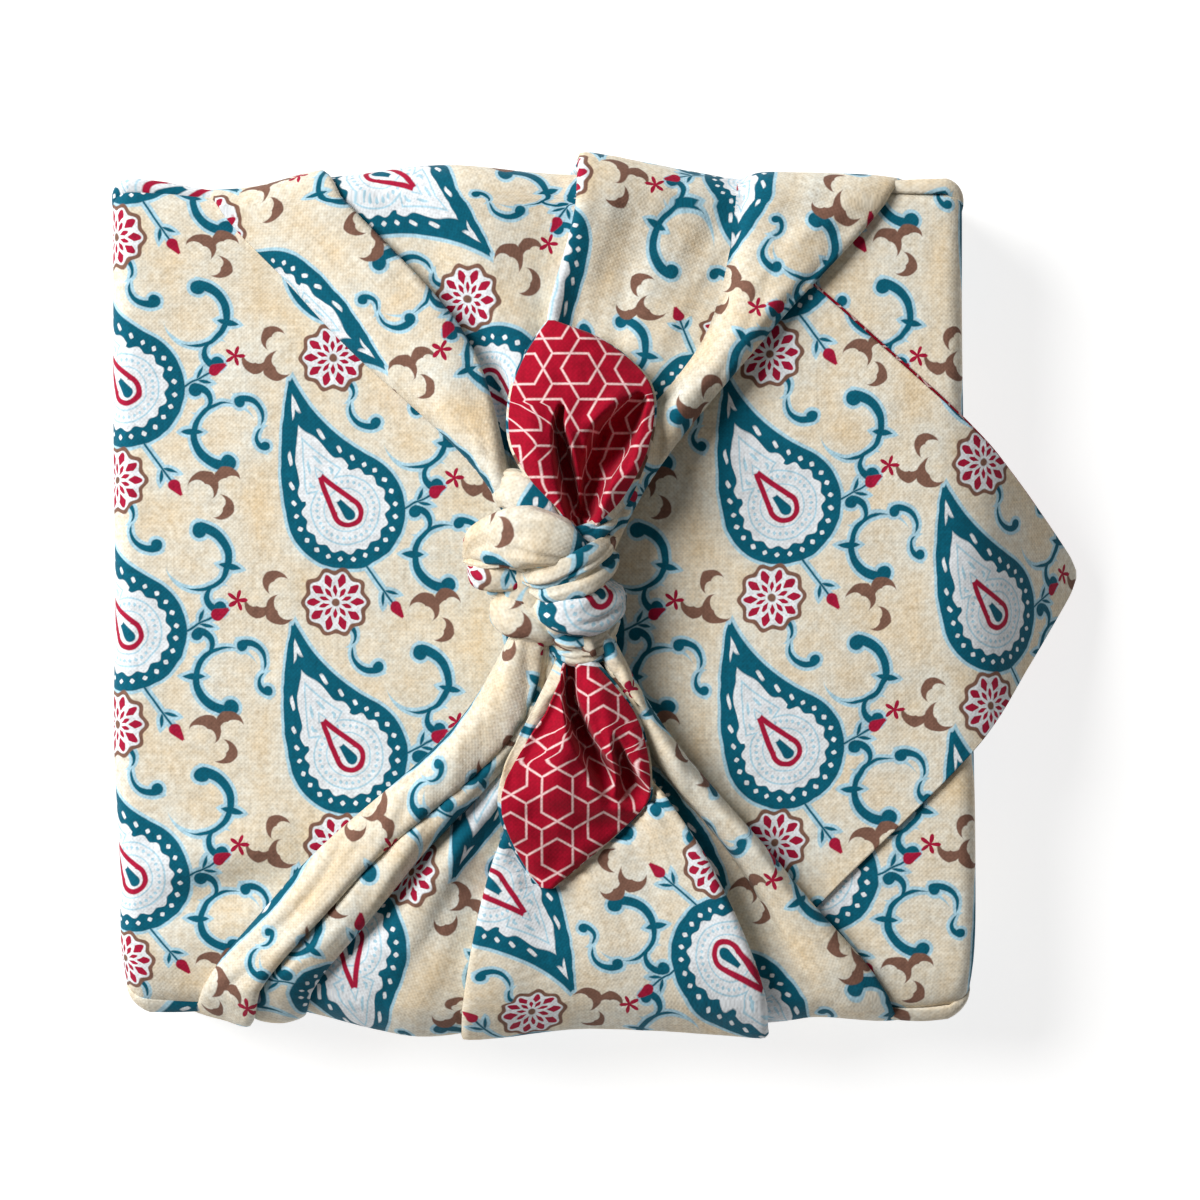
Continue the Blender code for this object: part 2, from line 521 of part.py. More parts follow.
def reverse(material):
    """The crimson reverse where it shows."""
    place = (PLY_GAP, PLY_GAP + PLY, REVERSE_SKIP, REVERSE_TRIM)
    ears = (
        ear("reverse_upper_ear", UPPER_EAR, UPPER_EAR_PLEATS, *place),
        ear("reverse_lower_ear", LOWER_EAR, LOWER_EAR_PLEATS, *place),
    )
    for leaf in ears:
        for name, turns in BANDS.items():
            cutter = band(f"room_{leaf.name}_{name}", turns, PLY_GAP)
            combine(leaf, "DIFFERENCE", cutter)
        settle(leaf)
    first = len(flap_stations()) - 2 - FLAP_STEPS_HANG + REVERSE_TIP_SKIP
    tip = flap("reverse_flap_tip", first, -PLY_GAP - PLY, -PLY_GAP, inset=REVERSE_TIP_INSET)
    for thing in (*ears, tip):
        thing.data.materials.append(material)


clear_scene()
front(cotton("front_cotton", CREAM))
reverse(cotton("reverse_cotton", CRIMSON))
for made in bpy.data.objects:
    made.data.shade_smooth()
    made.data.set_sharp_from_angle(angle=math.radians(40))
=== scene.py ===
"""The looks of a wrapped and knotted square cloth, built round its CAD part.

The cloth is two cotton panels back to back: a cream printed front and a crimson lattice reverse.
Every stretch of it is a thin closed sheet that follows the folds of the part. Each corner of each
face knows where it lies on the flat cloth, so the print runs on round edges and breaks at folds.

Tables are in millimetres in the part's own frame: +Z up, the origin at the middle of the
underside, +Y towards the knot's upper ear and +X towards the tip of the crossing flap.
"""

import json
import math
from collections import namedtuple
from functools import partialmethod

import bpy
import numpy as np
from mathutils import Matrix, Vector, kdtree, noise

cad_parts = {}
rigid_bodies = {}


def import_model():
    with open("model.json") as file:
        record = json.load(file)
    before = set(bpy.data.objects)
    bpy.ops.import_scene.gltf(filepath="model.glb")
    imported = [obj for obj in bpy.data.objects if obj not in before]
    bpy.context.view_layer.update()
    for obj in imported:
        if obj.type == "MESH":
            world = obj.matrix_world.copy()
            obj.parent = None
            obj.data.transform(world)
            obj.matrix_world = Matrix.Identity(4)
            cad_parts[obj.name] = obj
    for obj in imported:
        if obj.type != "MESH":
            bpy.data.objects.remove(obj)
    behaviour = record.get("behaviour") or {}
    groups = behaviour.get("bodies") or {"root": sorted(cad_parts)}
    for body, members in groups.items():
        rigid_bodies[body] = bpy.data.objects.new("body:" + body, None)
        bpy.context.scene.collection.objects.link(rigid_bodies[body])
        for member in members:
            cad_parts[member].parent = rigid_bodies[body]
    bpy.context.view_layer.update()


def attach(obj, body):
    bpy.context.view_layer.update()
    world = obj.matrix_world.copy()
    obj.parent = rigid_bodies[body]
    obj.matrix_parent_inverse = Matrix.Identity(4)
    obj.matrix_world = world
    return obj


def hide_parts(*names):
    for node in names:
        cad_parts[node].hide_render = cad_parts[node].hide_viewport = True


MM = 0.001

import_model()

# The wrapped parcel.
TOP = 35.0
HALF_Y = 95.8
SIDE_X = {1: 97.2, -1: 98.4}  # how far out its +X and -X sides are
LEAN = 0.0105  # how far its sides slant sideways, for each mm of depth
EDGE_RADIUS = 4.0
FOOT_RADIUS = 1.5
WALL = TOP - EDGE_RADIUS  # how far up a side is straight
CLOTH = 0.6  # thickness of the front panel
LINING = 0.5  # thickness of the reverse panel

# The crossing strip: the cloth's diagonal, followed all the way round the parcel from the hidden
# lower layer on top, down the +X side, underneath, up the -X side and over the top to its tip.
Leg = namedtuple("Leg", "name length radius turn steps across_radius reach_y")
STRIP_START_X = -24.0
SHOULDER_X = 93.2  # how far from the middle the top is level
SIDE_LENGTH = 29.5
FLAP_RADIUS = 5.2  # of the flap's turn over the -X upper edge
MARGIN_RADIUS = 4.6  # of the turn of its margins over the +Y and -Y edges
FLAP_REACH_Y = 96.0
LEGS = (
    Leg("lower layer", SHOULDER_X - STRIP_START_X, 0, 0, 42, EDGE_RADIUS, 95.2),
    Leg("+X upper edge", 0, EDGE_RADIUS, 90, 8, EDGE_RADIUS, 95.3),
    Leg("+X side", SIDE_LENGTH, 0, 0, 12, EDGE_RADIUS, 95.4),
    Leg("+X foot", 0, FOOT_RADIUS, 90, 5, FOOT_RADIUS, 95.5),
    Leg("underside", 192.6, 0, 0, 40, FOOT_RADIUS, 95.6),
    Leg("-X foot", 0, FOOT_RADIUS, 90, 5, FOOT_RADIUS, 95.7),
    Leg("-X side", SIDE_LENGTH, 0, 0, 12, EDGE_RADIUS, 95.8),
    Leg("-X upper edge", 0, FLAP_RADIUS, 90, 8, MARGIN_RADIUS, FLAP_REACH_Y),
    Leg("flap", 184.2, 0, 0, 80, MARGIN_RADIUS, FLAP_REACH_Y),
    Leg("bend of the tip", 0, 21.2, 46, 14, MARGIN_RADIUS, FLAP_REACH_Y),
    Leg("hanging tip", 27.0, 0, 0, 26, MARGIN_RADIUS, FLAP_REACH_Y),
)
FLAP_LEGS = LEGS[-3:]
STRIP_OVER = 7.0  # how far its margins hang over the parcel's +Y and -Y edges
STRIP_SHARES = (14, 52)  # steps across a margin, and across the middle
FLAP_SLOPE = 0.945  # how fast the half width grows, going back from the tip
FLAP_TIP_Y = 6.6  # how far to +Y the tip lies
FLAP_TIP_RADIUS = 2.2
FLAP_CENTRING = 94.6  # the half width from which the flap lies in the middle


def clear_stage():
    """The scene holds only the frame's own objects."""
    for thing in list(bpy.data.objects):
        if thing.type in {"CAMERA", "LIGHT"}:
            bpy.data.objects.remove(thing, do_unlink=True)


def in_scene(name, data):
    thing = bpy.data.objects.new(name, data)
    bpy.context.scene.collection.objects.link(thing)
    return thing


# ---------------------------------------------------------------------------------------------
# Numbers in node trees


def feed(tree, value, socket):
    if isinstance(value, Wire):
        tree.links.new(value.socket, socket)
    else:
        socket.default_value = value


class Wire:
    """A number or colour that changes over the cloth. Arithmetic on wires adds the Math nodes."""

    def __init__(self, tree, socket):
        self.tree = tree
        self.socket = socket

    def math(self, operation, *others, clamp=False):
        node = self.tree.nodes.new("ShaderNodeMath")
        node.operation = operation
        node.use_clamp = clamp
        for value, socket in zip((self, *others), node.inputs):
            feed(self.tree, value, socket)
        return Wire(self.tree, node.outputs[0])

    __add__ = partialmethod(math, "ADD")
    __sub__ = partialmethod(math, "SUBTRACT")
    __mul__ = partialmethod(math, "MULTIPLY")
    __neg__ = partialmethod(math, "MULTIPLY", -1.0)
    __abs__ = partialmethod(math, "ABSOLUTE")
    times_plus = partialmethod(math, "MULTIPLY_ADD")
    least = partialmethod(math, "MINIMUM")
    most = partialmethod(math, "MAXIMUM")

    def nearest_multiple(self, step):
        return (self * (1 / step)).math("ROUND")


class Spot:
    """A place on the cloth in millimetres, seen from a motif's own middle."""

    def __init__(self, x, y):
        self.x = x
        self.y = y

    def moved(self, x, y):
        return Spot(self.x - x, self.y - y)

    def turned(self, degrees):
        c = math.cos(math.radians(degrees))
        s = math.sin(math.radians(degrees))
        return Spot(self.x.times_plus(c, self.y * s), self.y.times_plus(c, self.x * -s))

    def length(self):
        return self.x.times_plus(self.x, self.y * self.y).math("SQRT")

    def angle(self):
        return self.y.math("ARCTAN2", self.x)

    def half_drop(self, across, along):
        """The same place seen from the nearest of a half-drop grid's points."""
        column = self.x.nearest_multiple(across)
        y = column.times_plus(-along / 2, self.y)
        row = y.nearest_multiple(along)
        return Spot(column.times_plus(-across, self.x), row.times_plus(-along, y))


BLEED = 0.28  # how softly the print's edges end, in mm


def inked(distance, edge=0.0):
    """1 where a distance is below an edge, 0 above it, soft between."""
    return distance.math("MULTIPLY_ADD", -1 / BLEED, 0.5 + edge / BLEED, clamp=True)


def mix(tree, under, over, mask):
    """A colour laid over another where a mask is 1."""
    node = tree.nodes.new("ShaderNodeMix")
    node.data_type = "RGBA"
    feed(tree, mask, node.inputs["Factor"])
    for value, socket in ((under, node.inputs[6]), (over, node.inputs[7])):
        feed(tree, value, socket)
    return Wire(tree, node.outputs[2])


def ink(red, green, blue):
    """A linear colour from its sRGB values, 0 to 255."""
    parts = [value / 255 for value in (red, green, blue)]
    return (*[p / 12.92 if p < 0.04045 else ((p + 0.055) / 1.055) ** 2.4 for p in parts], 1.0)


# ---------------------------------------------------------------------------------------------
# The shapes of the print, each a distance in mm from its outline, below 0 inside it


def nearest(shapes):
    """The distance from whichever of several shapes is nearest."""
    first, *others = shapes
    for other in others:
        first = first.least(other)
    return first


def disc(spot, radius):
    return spot.length() - radius


def drop(spot, radius, height, point=0.6):
    """A drop: round at the spot, pointed so far above it."""
    lean = (radius - point) / height
    level = math.sqrt(1 - lean * lean)
    side = abs(spot.x)
    flank = side.times_plus(level, spot.y * lean)
    rise = spot.y.times_plus(level, side * -lean)
    wedge = (flank - radius).most(-rise).most(rise - level * height)
    return disc(spot, radius).least(wedge)


def leaf(spot, half_length, half_width):
    """A leaf with two points, upright at the spot."""
    back = (half_length**2 - half_width**2) / (2 * half_width)
    return Spot(abs(spot.x) + back, spot.y).length() - (back + half_width)


def crescent(spot, radius, reach, width):
    """A stroke round the spot, widest to its right and thinned to nothing at either end. reach
    is how far it goes either way, in radians."""
    return abs(spot.angle()).times_plus(width / reach, abs(disc(spot, radius)) - width)


def comma(spot, radius, reach, width):
    """A stroke round the spot that swells from a fine tail to a bead at its head."""
    angle = spot.angle()
    share = angle.math("MULTIPLY_ADD", 1 / (2 * reach), 0.5)
    thinned = (share * -2.6 + 0.8).most(0.0)
    ring = abs(disc(spot, radius)) - share * width + thinned
    body = ring.most((angle - reach) * radius)
    inner = radius - width * 0.55
    head = disc(spot.moved(inner * math.cos(reach), inner * math.sin(reach)), width * 1.45)
    return body.least(head)


# ---------------------------------------------------------------------------------------------
# Shader groups

GROUND = ink(227, 204, 167)
MIST = ink(222, 226, 221)
PALE_BLUE = ink(172, 209, 226)
OFF_WHITE = ink(226, 231, 236)
TEAL = ink(0, 90, 113)
BERRY = ink(164, 20, 56)
BROWN = ink(124, 90, 76)
CRIMSON = ink(162, 3, 38)
LATTICE_WHITE = ink(240, 205, 205)

# The repeat of the print, and in it each motif's place (x, y) and turn in degrees.
PRINT_ACROSS = 50.0
PRINT_ALONG = 56.0
PAISLEY_AT = (0, -1, 38)
ROSETTE_AT = (2, 28, 0)
SCROLLS_AT = ((20.5, 10, -40), (27.5, -17.5, 150))
BUDS_AT = ((20, -5.5, -62), (12.5, -24.5, 215))
FOLIAGE_AT = ((25, 25.5, 0), (37.5, 0.5, 150))
BLOSSOM_AT = (29.5, 0.5, 0)
SPRIGS_AT = ((-18.5, 14.5, 20), (10, 16.5, -150))
HALO = 0.75  # how far a pale line shows round the teal
WASH_REACH = 7.5  # how far the pale ground reaches out from the motifs
WASH = 0.50  # how strong it is at most
LATTICE_STEP = 11.4  # from a hexagon's middle to the next one's
LATTICE_LINE = 0.44

# The paisley, and how far in from its outline its rows of ornament lie.
PAISLEY_RADIUS, PAISLEY_HEIGHT, PAISLEY_CURL = 13.6, 31.0, 0.013
BEADS_IN, BEADS = 2.3, 24
SCALLOPS_IN, SCALLOPS = 4.0, 16
DASHES_IN, DASHES = 7.0, 30
LINES_IN = (5.7, 8.6)
ROSETTE_PETALS = 10
ROSETTE_RIM, ROSETTE_FACE = 7.6, 6.6

# The weave, in mm.
THREAD_PITCH = 0.5
SLUB_STRETCH = 0.12  # below 1, how much longer a slub is than wide
CRUMPLE_BUMP = (0.8, 0.9)  # strength, and height in mm
WEAVE_BUMP = (0.5, 0.10)
SHADE_CONTRAST = 0.72  # how much the threads lighten and darken the print


def new_group(name, ins, outs):
    """A shader group with the sockets named, each a (name, kind) pair or a name, kind and value."""
    group = bpy.data.node_groups.new(name, "ShaderNodeTree")
    for way, sockets in (("INPUT", ins), ("OUTPUT", outs)):
        for socket_name, kind, *value in sockets:
            socket = group.interface.new_socket(socket_name, in_out=way,
                                                socket_type=f"NodeSocket{kind}")
            if value:
                socket.default_value = value[0]
    return group, group.nodes.new("NodeGroupInput"), group.nodes.new("NodeGroupOutput")


def spot_from(tree, vector):
    """The x and y of a vector in metres, as a spot in millimetres."""
    split = tree.nodes.new("ShaderNodeSeparateXYZ")
    tree.links.new(vector, split.inputs[0])
    return Spot(Wire(tree, split.outputs[0]) * (1 / MM), Wire(tree, split.outputs[1]) * (1 / MM))


def unevenness(tree, vector, size, detail=1.0):
    """Smooth noise round 0, from about -0.5 to 0.5, with blobs of a size in mm."""
    node = tree.nodes.new("ShaderNodeTexNoise")
    node.inputs["Scale"].default_value = 1 / (size * MM)
    node.inputs["Detail"].default_value = detail
    tree.links.new(vector, node.inputs["Vector"])
    return Wire(tree, node.outputs["Fac"]) - 0.5


def placed(tree, group, place):
    """A group set into a tree and told where on the cloth it is."""
    node = tree.nodes.new("ShaderNodeGroup")
    node.node_tree = group
    tree.links.new(place, node.inputs["Place"])
    return node


def weave_group():
    """Plain weave: a height for the bump, and a shade that is light on the threads."""
    group, given, made = new_group(
        "plain_weave",
        [("Place", "Vector"), ("Pitch", "Float", THREAD_PITCH)],
        [("Height", "Float"), ("Shade", "Float")],
    )
    place = given.outputs["Place"]
    spot = spot_from(group, place)
    pitch = Wire(group, given.outputs["Pitch"])
    warp, weft = [(way * math.pi).math("DIVIDE", pitch).math("SINE") for way in (spot.x, spot.y)]
    threads = warp * weft
    slubs = []
    for stretched in ((SLUB_STRETCH, 1.0, 1.0), (1.0, SLUB_STRETCH, 1.0)):
        stretch = group.nodes.new("ShaderNodeMapping")
        stretch.inputs["Scale"].default_value = stretched
        group.links.new(place, stretch.inputs["Vector"])
        slubs.append(unevenness(group, stretch.outputs[0], 0.55, 2.0))
    uneven = slubs[0] + slubs[1]
    mottled = unevenness(group, place, 1.3, 2.0)
    group.links.new((threads * 0.35 + uneven).socket, made.inputs["Height"])
    group.links.new((threads * 0.10 + uneven * 0.55 + mottled * 0.7).socket, made.inputs["Shade"])
    return group


def nearest_of_two(first, second):
    """Whichever of two spots lies nearer its own middle."""
    nearer = first.length().math("LESS_THAN", second.length())
    return Spot((first.x - second.x).times_plus(nearer, second.x),
                (first.y - second.y).times_plus(nearer, second.y))


def lattice_group():
    """The reverse's print: a thin white lattice of linked hexagons, charted by its geometry."""
    group, given, made = new_group("hexagon_lattice", [("Place", "Vector")], [("Line", "Float")])
    spot = spot_from(group, given.outputs["Place"]).turned(90)
    wide = LATTICE_STEP * math.sqrt(3)
    cells = []
    for shift in (0.0, 0.5):
        at = spot.moved(wide * shift, LATTICE_STEP * shift)
        cells.append(Spot(
            at.x.nearest_multiple(wide).times_plus(-wide, at.x),
            at.y.nearest_multiple(LATTICE_STEP).times_plus(-LATTICE_STEP, at.y),
        ))
    cell = nearest_of_two(*cells)
    upright = math.sqrt(0.75)  # a hexagon's height from its middle to a flat, for a radius of 1
    lines = []
    for turn in (0, 120, 240):
        at = cell.turned(turn)
        slope = abs(at.x) * 0.5
        lines.append(abs(at.y.times_plus(upright, slope) - upright * LATTICE_STEP / 3))
    group.links.new(inked(nearest(lines), LATTICE_LINE / 2).socket, made.inputs["Line"])
    return group


def paisley(spot):
    """The large motif: a curled drop. Its outline, and the colours laid inside it."""
    lift = (spot.y + 2).most(0.0)
    curled = Spot(spot.x - lift * lift * PAISLEY_CURL, spot.y + 7.5)
    outline = drop(curled, PAISLEY_RADIUS, PAISLEY_HEIGHT)
    ring = curled.angle()
    scallop = (ring * SCALLOPS).math("COSINE")
    beads = abs(outline + BEADS_IN) - (ring * BEADS).math("COSINE") * 0.8
    dashes = abs(outline + DASHES_IN) - (ring * DASHES).math("COSINE") * 0.34
    heart = drop(Spot(curled.x, curled.y + 0.6), 3.4, 10.0)
    return outline, [
        (OFF_WHITE, inked(scallop.times_plus(0.42, outline), -SCALLOPS_IN)),
        (OFF_WHITE, inked(beads, -0.22)),
        (PALE_BLUE, inked(abs(outline + LINES_IN[0]), 0.20)),
        (PALE_BLUE, inked(dashes, 0.10)),
        (PALE_BLUE, inked(abs(outline + LINES_IN[1]), 0.16)),
        (BERRY, inked(abs(heart + 0.4), 0.62)),
        (TEAL, inked(drop(Spot(curled.x, curled.y + 1.2), 1.3, 3.8))),
    ]


def rosette(spot):
    """The middling motif: a round flower with a brown rim and berry petals."""
    away = spot.length()
    petals = (spot.angle() * ROSETTE_PETALS).math("COSINE")
    rim = petals.times_plus(-0.45, away)
    outer = abs(away - 5.0) - petals.times_plus(1.15, 0.45)
    inner = abs(away - 2.6) + petals.times_plus(0.85, -0.35)
    return [
        (BROWN, inked(rim, ROSETTE_RIM)),
        (OFF_WHITE, inked(rim, ROSETTE_FACE)),
        (BERRY, inked(outer)),
        (BERRY, inked(inner)),
        (BROWN, inked(away, 0.9)),
    ]


def scroll(spot):
    """A teal scroll: a long comma, a short one that branches from its back, and a thorn."""
    return nearest([
        comma(spot, 7.2, 2.15, 1.2),
        comma(spot.moved(9.6, -3.4).turned(200), 3.0, 1.9, 1.0),
        leaf(spot.moved(6.9, 3.4).turned(-62), 2.6, 0.8),
    ])


def sprig(spot):
    """Two teal commas that curl away from each other."""
    return comma(spot, 4.2, 1.5, 0.9).least(
        comma(spot.moved(3.4, -6.2).turned(150), 2.6, 1.5, 0.75))


def foliage(spot):
    """Three brown crescents that curl from one stalk."""
    return nearest([
        crescent(spot.moved(-3.2, 0.2).turned(60), 3.2, 1.7, 1.6),
        crescent(spot.moved(2.9, 1.7).turned(115), 2.8, 1.7, 1.45),
        crescent(spot.moved(0.4, -3.5).turned(-20), 2.7, 1.6, 1.35),
    ])


def bud(spot):
    """A bud on a thin stem with two leaflets: the bud, and the stem."""
    head = drop(spot.moved(0, 5.6), 1.35, 2.9, 0.3)
    stem = abs(spot.x).most(abs(spot.y + 0.6) - 5.2) - 0.26
    leaflets = leaf(Spot(abs(spot.x), spot.y).moved(1.2, 2.4).turned(-40), 1.7, 0.42)
    return head, stem.least(leaflets)


def blossom(spot):
    """A small berry flower of five petals."""
    return (spot.angle() * 5).math("COSINE").times_plus(-0.95, spot.length()) - 1.45


def print_group():
    """The front's print: a half-drop repeat of common motifs on a brushed ground."""
    group, given, made = new_group("cotton_print", [("Place", "Vector")], [("Color", "Color")])
    place = given.outputs["Place"]
    raw = spot_from(group, place)
    wobble = unevenness(group, place, 4.5) * 0.8
    base = Spot(raw.x + wobble, raw.y - wobble)

    def at(x, y, turn):
        return base.moved(x, y).half_drop(PRINT_ACROSS, PRINT_ALONG).turned(turn)

    outline, inside = paisley(at(*PAISLEY_AT))
    scrolls = [scroll(at(*where)) for where in SCROLLS_AT]
    sprigs = [sprig(at(*where)) for where in SPRIGS_AT]
    heads, stems = zip(*[bud(at(*where)) for where in BUDS_AT])
    teal = nearest([outline, *scrolls, *sprigs, *stems])
    brown = nearest([foliage(at(*where)) for where in FOLIAGE_AT])
    berry = nearest([*heads, blossom(at(*BLOSSOM_AT))])
    flower = rosette(at(*ROSETTE_AT))

    # the ground: cream, brushed with pale blue round the motifs
    near = teal.least(brown + 1.0).math("MULTIPLY_ADD", -1 / WASH_REACH, 1.05, clamp=True)
    brushed = unevenness(group, place, 1.3, 3.0) * 1.3
    cloud = unevenness(group, place, 16.0, 1.0) * 2.0
    wash = (near + brushed + cloud).math("MULTIPLY_ADD", WASH, 0.12, clamp=True)
    colour = mix(group, GROUND, MIST, wash)
    layers = [
        (PALE_BLUE, inked(teal, HALO)),
        (TEAL, inked(teal)),
        (BROWN, inked(brown)),
        (BERRY, inked(berry)),
    ]
    for tint, mask in layers + inside + flower:
        colour = mix(group, colour, tint, mask)
    group.links.new(colour.socket, made.inputs["Color"])
    return group


def crumple_group():
    """Soft small wrinkles of cloth that was folded before."""
    group, given, made = new_group("crumple", [("Place", "Vector")], [("Height", "Float")])
    soft = unevenness(group, given.outputs["Place"], 16.0, 2.0)
    fine = unevenness(group, given.outputs["Place"], 4.0, 1.0)
    group.links.new((soft + fine * 0.25).socket, made.inputs["Height"])
    return group


def cotton(name, groups, roughness, paint):
    """Matte plain-weave cotton. paint(tree, place) gives the printed colour."""
    material = bpy.data.materials.new(name)
    material.use_nodes = True
    tree = material.node_tree
    shader = tree.nodes["Principled BSDF"]
    uv = tree.nodes.new("ShaderNodeUVMap")
    uv.uv_map = "cloth"
    place = uv.outputs["UV"]
    weave = placed(tree, groups["weave"], place)
    weave.inputs["Pitch"].default_value = THREAD_PITCH
    colour = paint(tree, place)
    lit = tree.nodes.new("ShaderNodeHueSaturation")
    feed(tree, colour, lit.inputs["Color"])
    feed(tree, Wire(tree, weave.outputs["Shade"]).times_plus(SHADE_CONTRAST, 1.0), lit.inputs["Value"])
    tree.links.new(lit.outputs["Color"], shader.inputs["Base Color"])
    crumple = placed(tree, groups["crumple"], place)
    normal = None
    for group, (strength, height) in ((crumple, CRUMPLE_BUMP), (weave, WEAVE_BUMP)):
        bump = tree.nodes.new("ShaderNodeBump")
        bump.inputs["Strength"].default_value = strength
        bump.inputs["Distance"].default_value = height * MM
        tree.links.new(group.outputs["Height"], bump.inputs["Height"])
        if normal is not None:
            tree.links.new(normal, bump.inputs["Normal"])
        normal = bump.outputs["Normal"]
    tree.links.new(normal, shader.inputs["Normal"])
    for socket, value in (("Roughness", roughness), ("Sheen Weight", 0.08),
                          ("Sheen Roughness", 0.45), ("Specular IOR Level", 0.15)):
        shader.inputs[socket].default_value = value
    return material


def front_cotton(groups):
    def paint(tree, place):
        return Wire(tree, placed(tree, groups["print"], place).outputs["Color"])

    return cotton("printed_cotton", groups, 0.86, paint)


def reverse_cotton(groups):
    def paint(tree, place):
        line = Wire(tree, placed(tree, groups["lattice"], place).outputs["Line"])
        return mix(tree, CRIMSON, LATTICE_WHITE, line)

    return cotton("lattice_cotton", groups, 0.84, paint)


# ---------------------------------------------------------------------------------------------
# Sheets


def smooth_through(places, values, at):
    """A smooth curve through values given at rising places, read at many."""
    places = np.asarray(places, float)
    values = np.asarray(values, float)
    spans = np.diff(places)
    slopes = (np.diff(values, axis=0).T / spans).T
    middle = ((slopes[:-1].T * spans[1:] + slopes[1:].T * spans[:-1]) / (spans[1:] + spans[:-1])).T
    tangents = np.concatenate([slopes[:1], middle, slopes[-1:]])
    at = np.clip(np.asarray(at, float), places[0], places[-1])
    span = np.clip(np.searchsorted(places, at, side="right") - 1, 0, len(spans) - 1)
    shape = at.shape + (1,) * (values.ndim - 1)
    t = ((at - places[span]) / spans[span]).reshape(shape)
    h = spans[span].reshape(shape)
    start = values[span] * (2 * t**3 - 3 * t**2 + 1) + tangents[span] * h * (t**3 - 2 * t**2 + t)
    end = values[span + 1] * (3 * t**2 - 2 * t**3) + tangents[span + 1] * h * (t**3 - t**2)
    return start + end


def unit(values):
    """Values held between 0 and 1."""
    return np.clip(values, 0, 1)


def arcs_across(grid):
    """How far along its row each point of a grid lies, from 0 at the row's start."""
    steps = np.linalg.norm(np.diff(grid, axis=1), axis=2)
    return np.concatenate([np.zeros((len(grid), 1)), np.cumsum(steps, axis=1)], axis=1)


def arcs_along(line):
    """How far along a line each of its points lies."""
    return arcs_across(line[None])[0]


def corners(grid):
    """The four corners of each quad of a grid, in order."""
    return np.stack([grid[:-1, :-1], grid[1:, :-1], grid[1:, 1:], grid[:-1, 1:]], axis=2)


def directions(vectors):
    """Vectors brought to a length of 1."""
    return vectors / np.maximum(np.linalg.norm(vectors, axis=-1, keepdims=True), 1e-9)


def uneven(points, size, seed):
    """Smooth noise from about -0.5 to 0.5 at each point."""
    flat = points.reshape(-1, points.shape[-1]) / size
    extra = (0.0,) * (3 - flat.shape[1])
    found = [noise.noise(Vector((*p, *extra)) + Vector((seed, seed * 1.7, 0.3))) for p in flat]
    return np.array(found).reshape(points.shape[:-1])


# How far each side of the parcel bulges out, or with a minus sign in, at places along it.
SIDE_BULGES = {
    "+Y": ((-100, 0.0), (-88, -0.8), (-76, -2.4), (-65, -2.2), (-56, -0.4), (0, 0.0), (100, -0.4)),
    "-Y": ((-100, -3.4), (-90, -2.8), (-62, -2.8), (-50, -1.8), (-40, -0.2), (-26, 1.6), (-12, 1.0),
           (6, -0.9), (22, -0.6), (40, 0.4), (54, 0.2), (64, -1.4), (90, -0.8), (100, -2.4)),
    "+X": ((-100, -1.6), (-84, 0.6), (-60, 1.2), (-36, 1.0), (0, 0.0), (60, -0.6), (100, 0.0)),
    "-X": ((-100, -2.4), (-86, -0.2), (-60, 0.2), (-32, 1.2), (0, 0.5), (30, 0.6), (100, 0.2)),
}
BULGE_FROM, BULGE_WHOLE = 66.0, 94.0  # a bulge grows between these ways out from the middle
BULGE_BEYOND, BULGE_END = 100.0, 112.0  # and fades between these, beyond the parcel
SAG = 5.2  # how far the top's edge over the lower tail sags
SAG_CORNER = 4.0  # and at a corner
SAG_WIDTH, SAG_CORNER_WIDTH = 18.0, 12.5  # how wide a margin sags, in the middle and at a corner
SAG_CORNER_FROM, SAG_CORNER_TO = 54.0, 68.0  # where along the edge the middle turns into a corner


def settled(points):
    """Points moved with the soft bulges of the parcel's sides and the sag of its lower edge."""
    moved = points.copy()
    corner = unit((np.abs(points[:, 0]) - SAG_CORNER_FROM) / (SAG_CORNER_TO - SAG_CORNER_FROM))
    width = SAG_WIDTH + (SAG_CORNER_WIDTH - SAG_WIDTH) * corner
    depth = SAG + (SAG_CORNER - SAG) * corner
    sunk = depth * np.clip(1 - (points[:, 1] + HALF_Y) / width, 0, 1.1) ** 2
    moved[:, 2] -= sunk * np.clip(points[:, 2] / TOP, 0, 1.1)
    for axis, ways in ((1, ("+Y", "-Y")), (0, ("+X", "-X"))):
        for way, side in zip(ways, (1, -1)):
            out = points[:, axis] * side
            near = unit((out - BULGE_FROM) / (BULGE_WHOLE - BULGE_FROM))
            beyond = unit((BULGE_END - out) / (BULGE_END - BULGE_BEYOND))
            stops, bulges = zip(*SIDE_BULGES[way])
            bulge = smooth_through(stops, bulges, points[:, 1 - axis])
            moved[:, axis] += side * bulge * near * near * (3 - 2 * near) * beyond
    return moved


def new_piece(name, points, faces, places, material):
    """A mesh from points in millimetres, with each face corner's place on the flat cloth."""
    mesh = bpy.data.meshes.new(name)
    mesh.from_pydata((points * MM).tolist(), [], faces)
    layer = mesh.uv_layers.new(name="cloth")
    layer.uv.foreach_set("vector", (places * MM).astype(np.float32).ravel())
    mesh.materials.append(material)
    mesh.shade_smooth()
    mesh.validate()
    return in_scene(name, mesh)


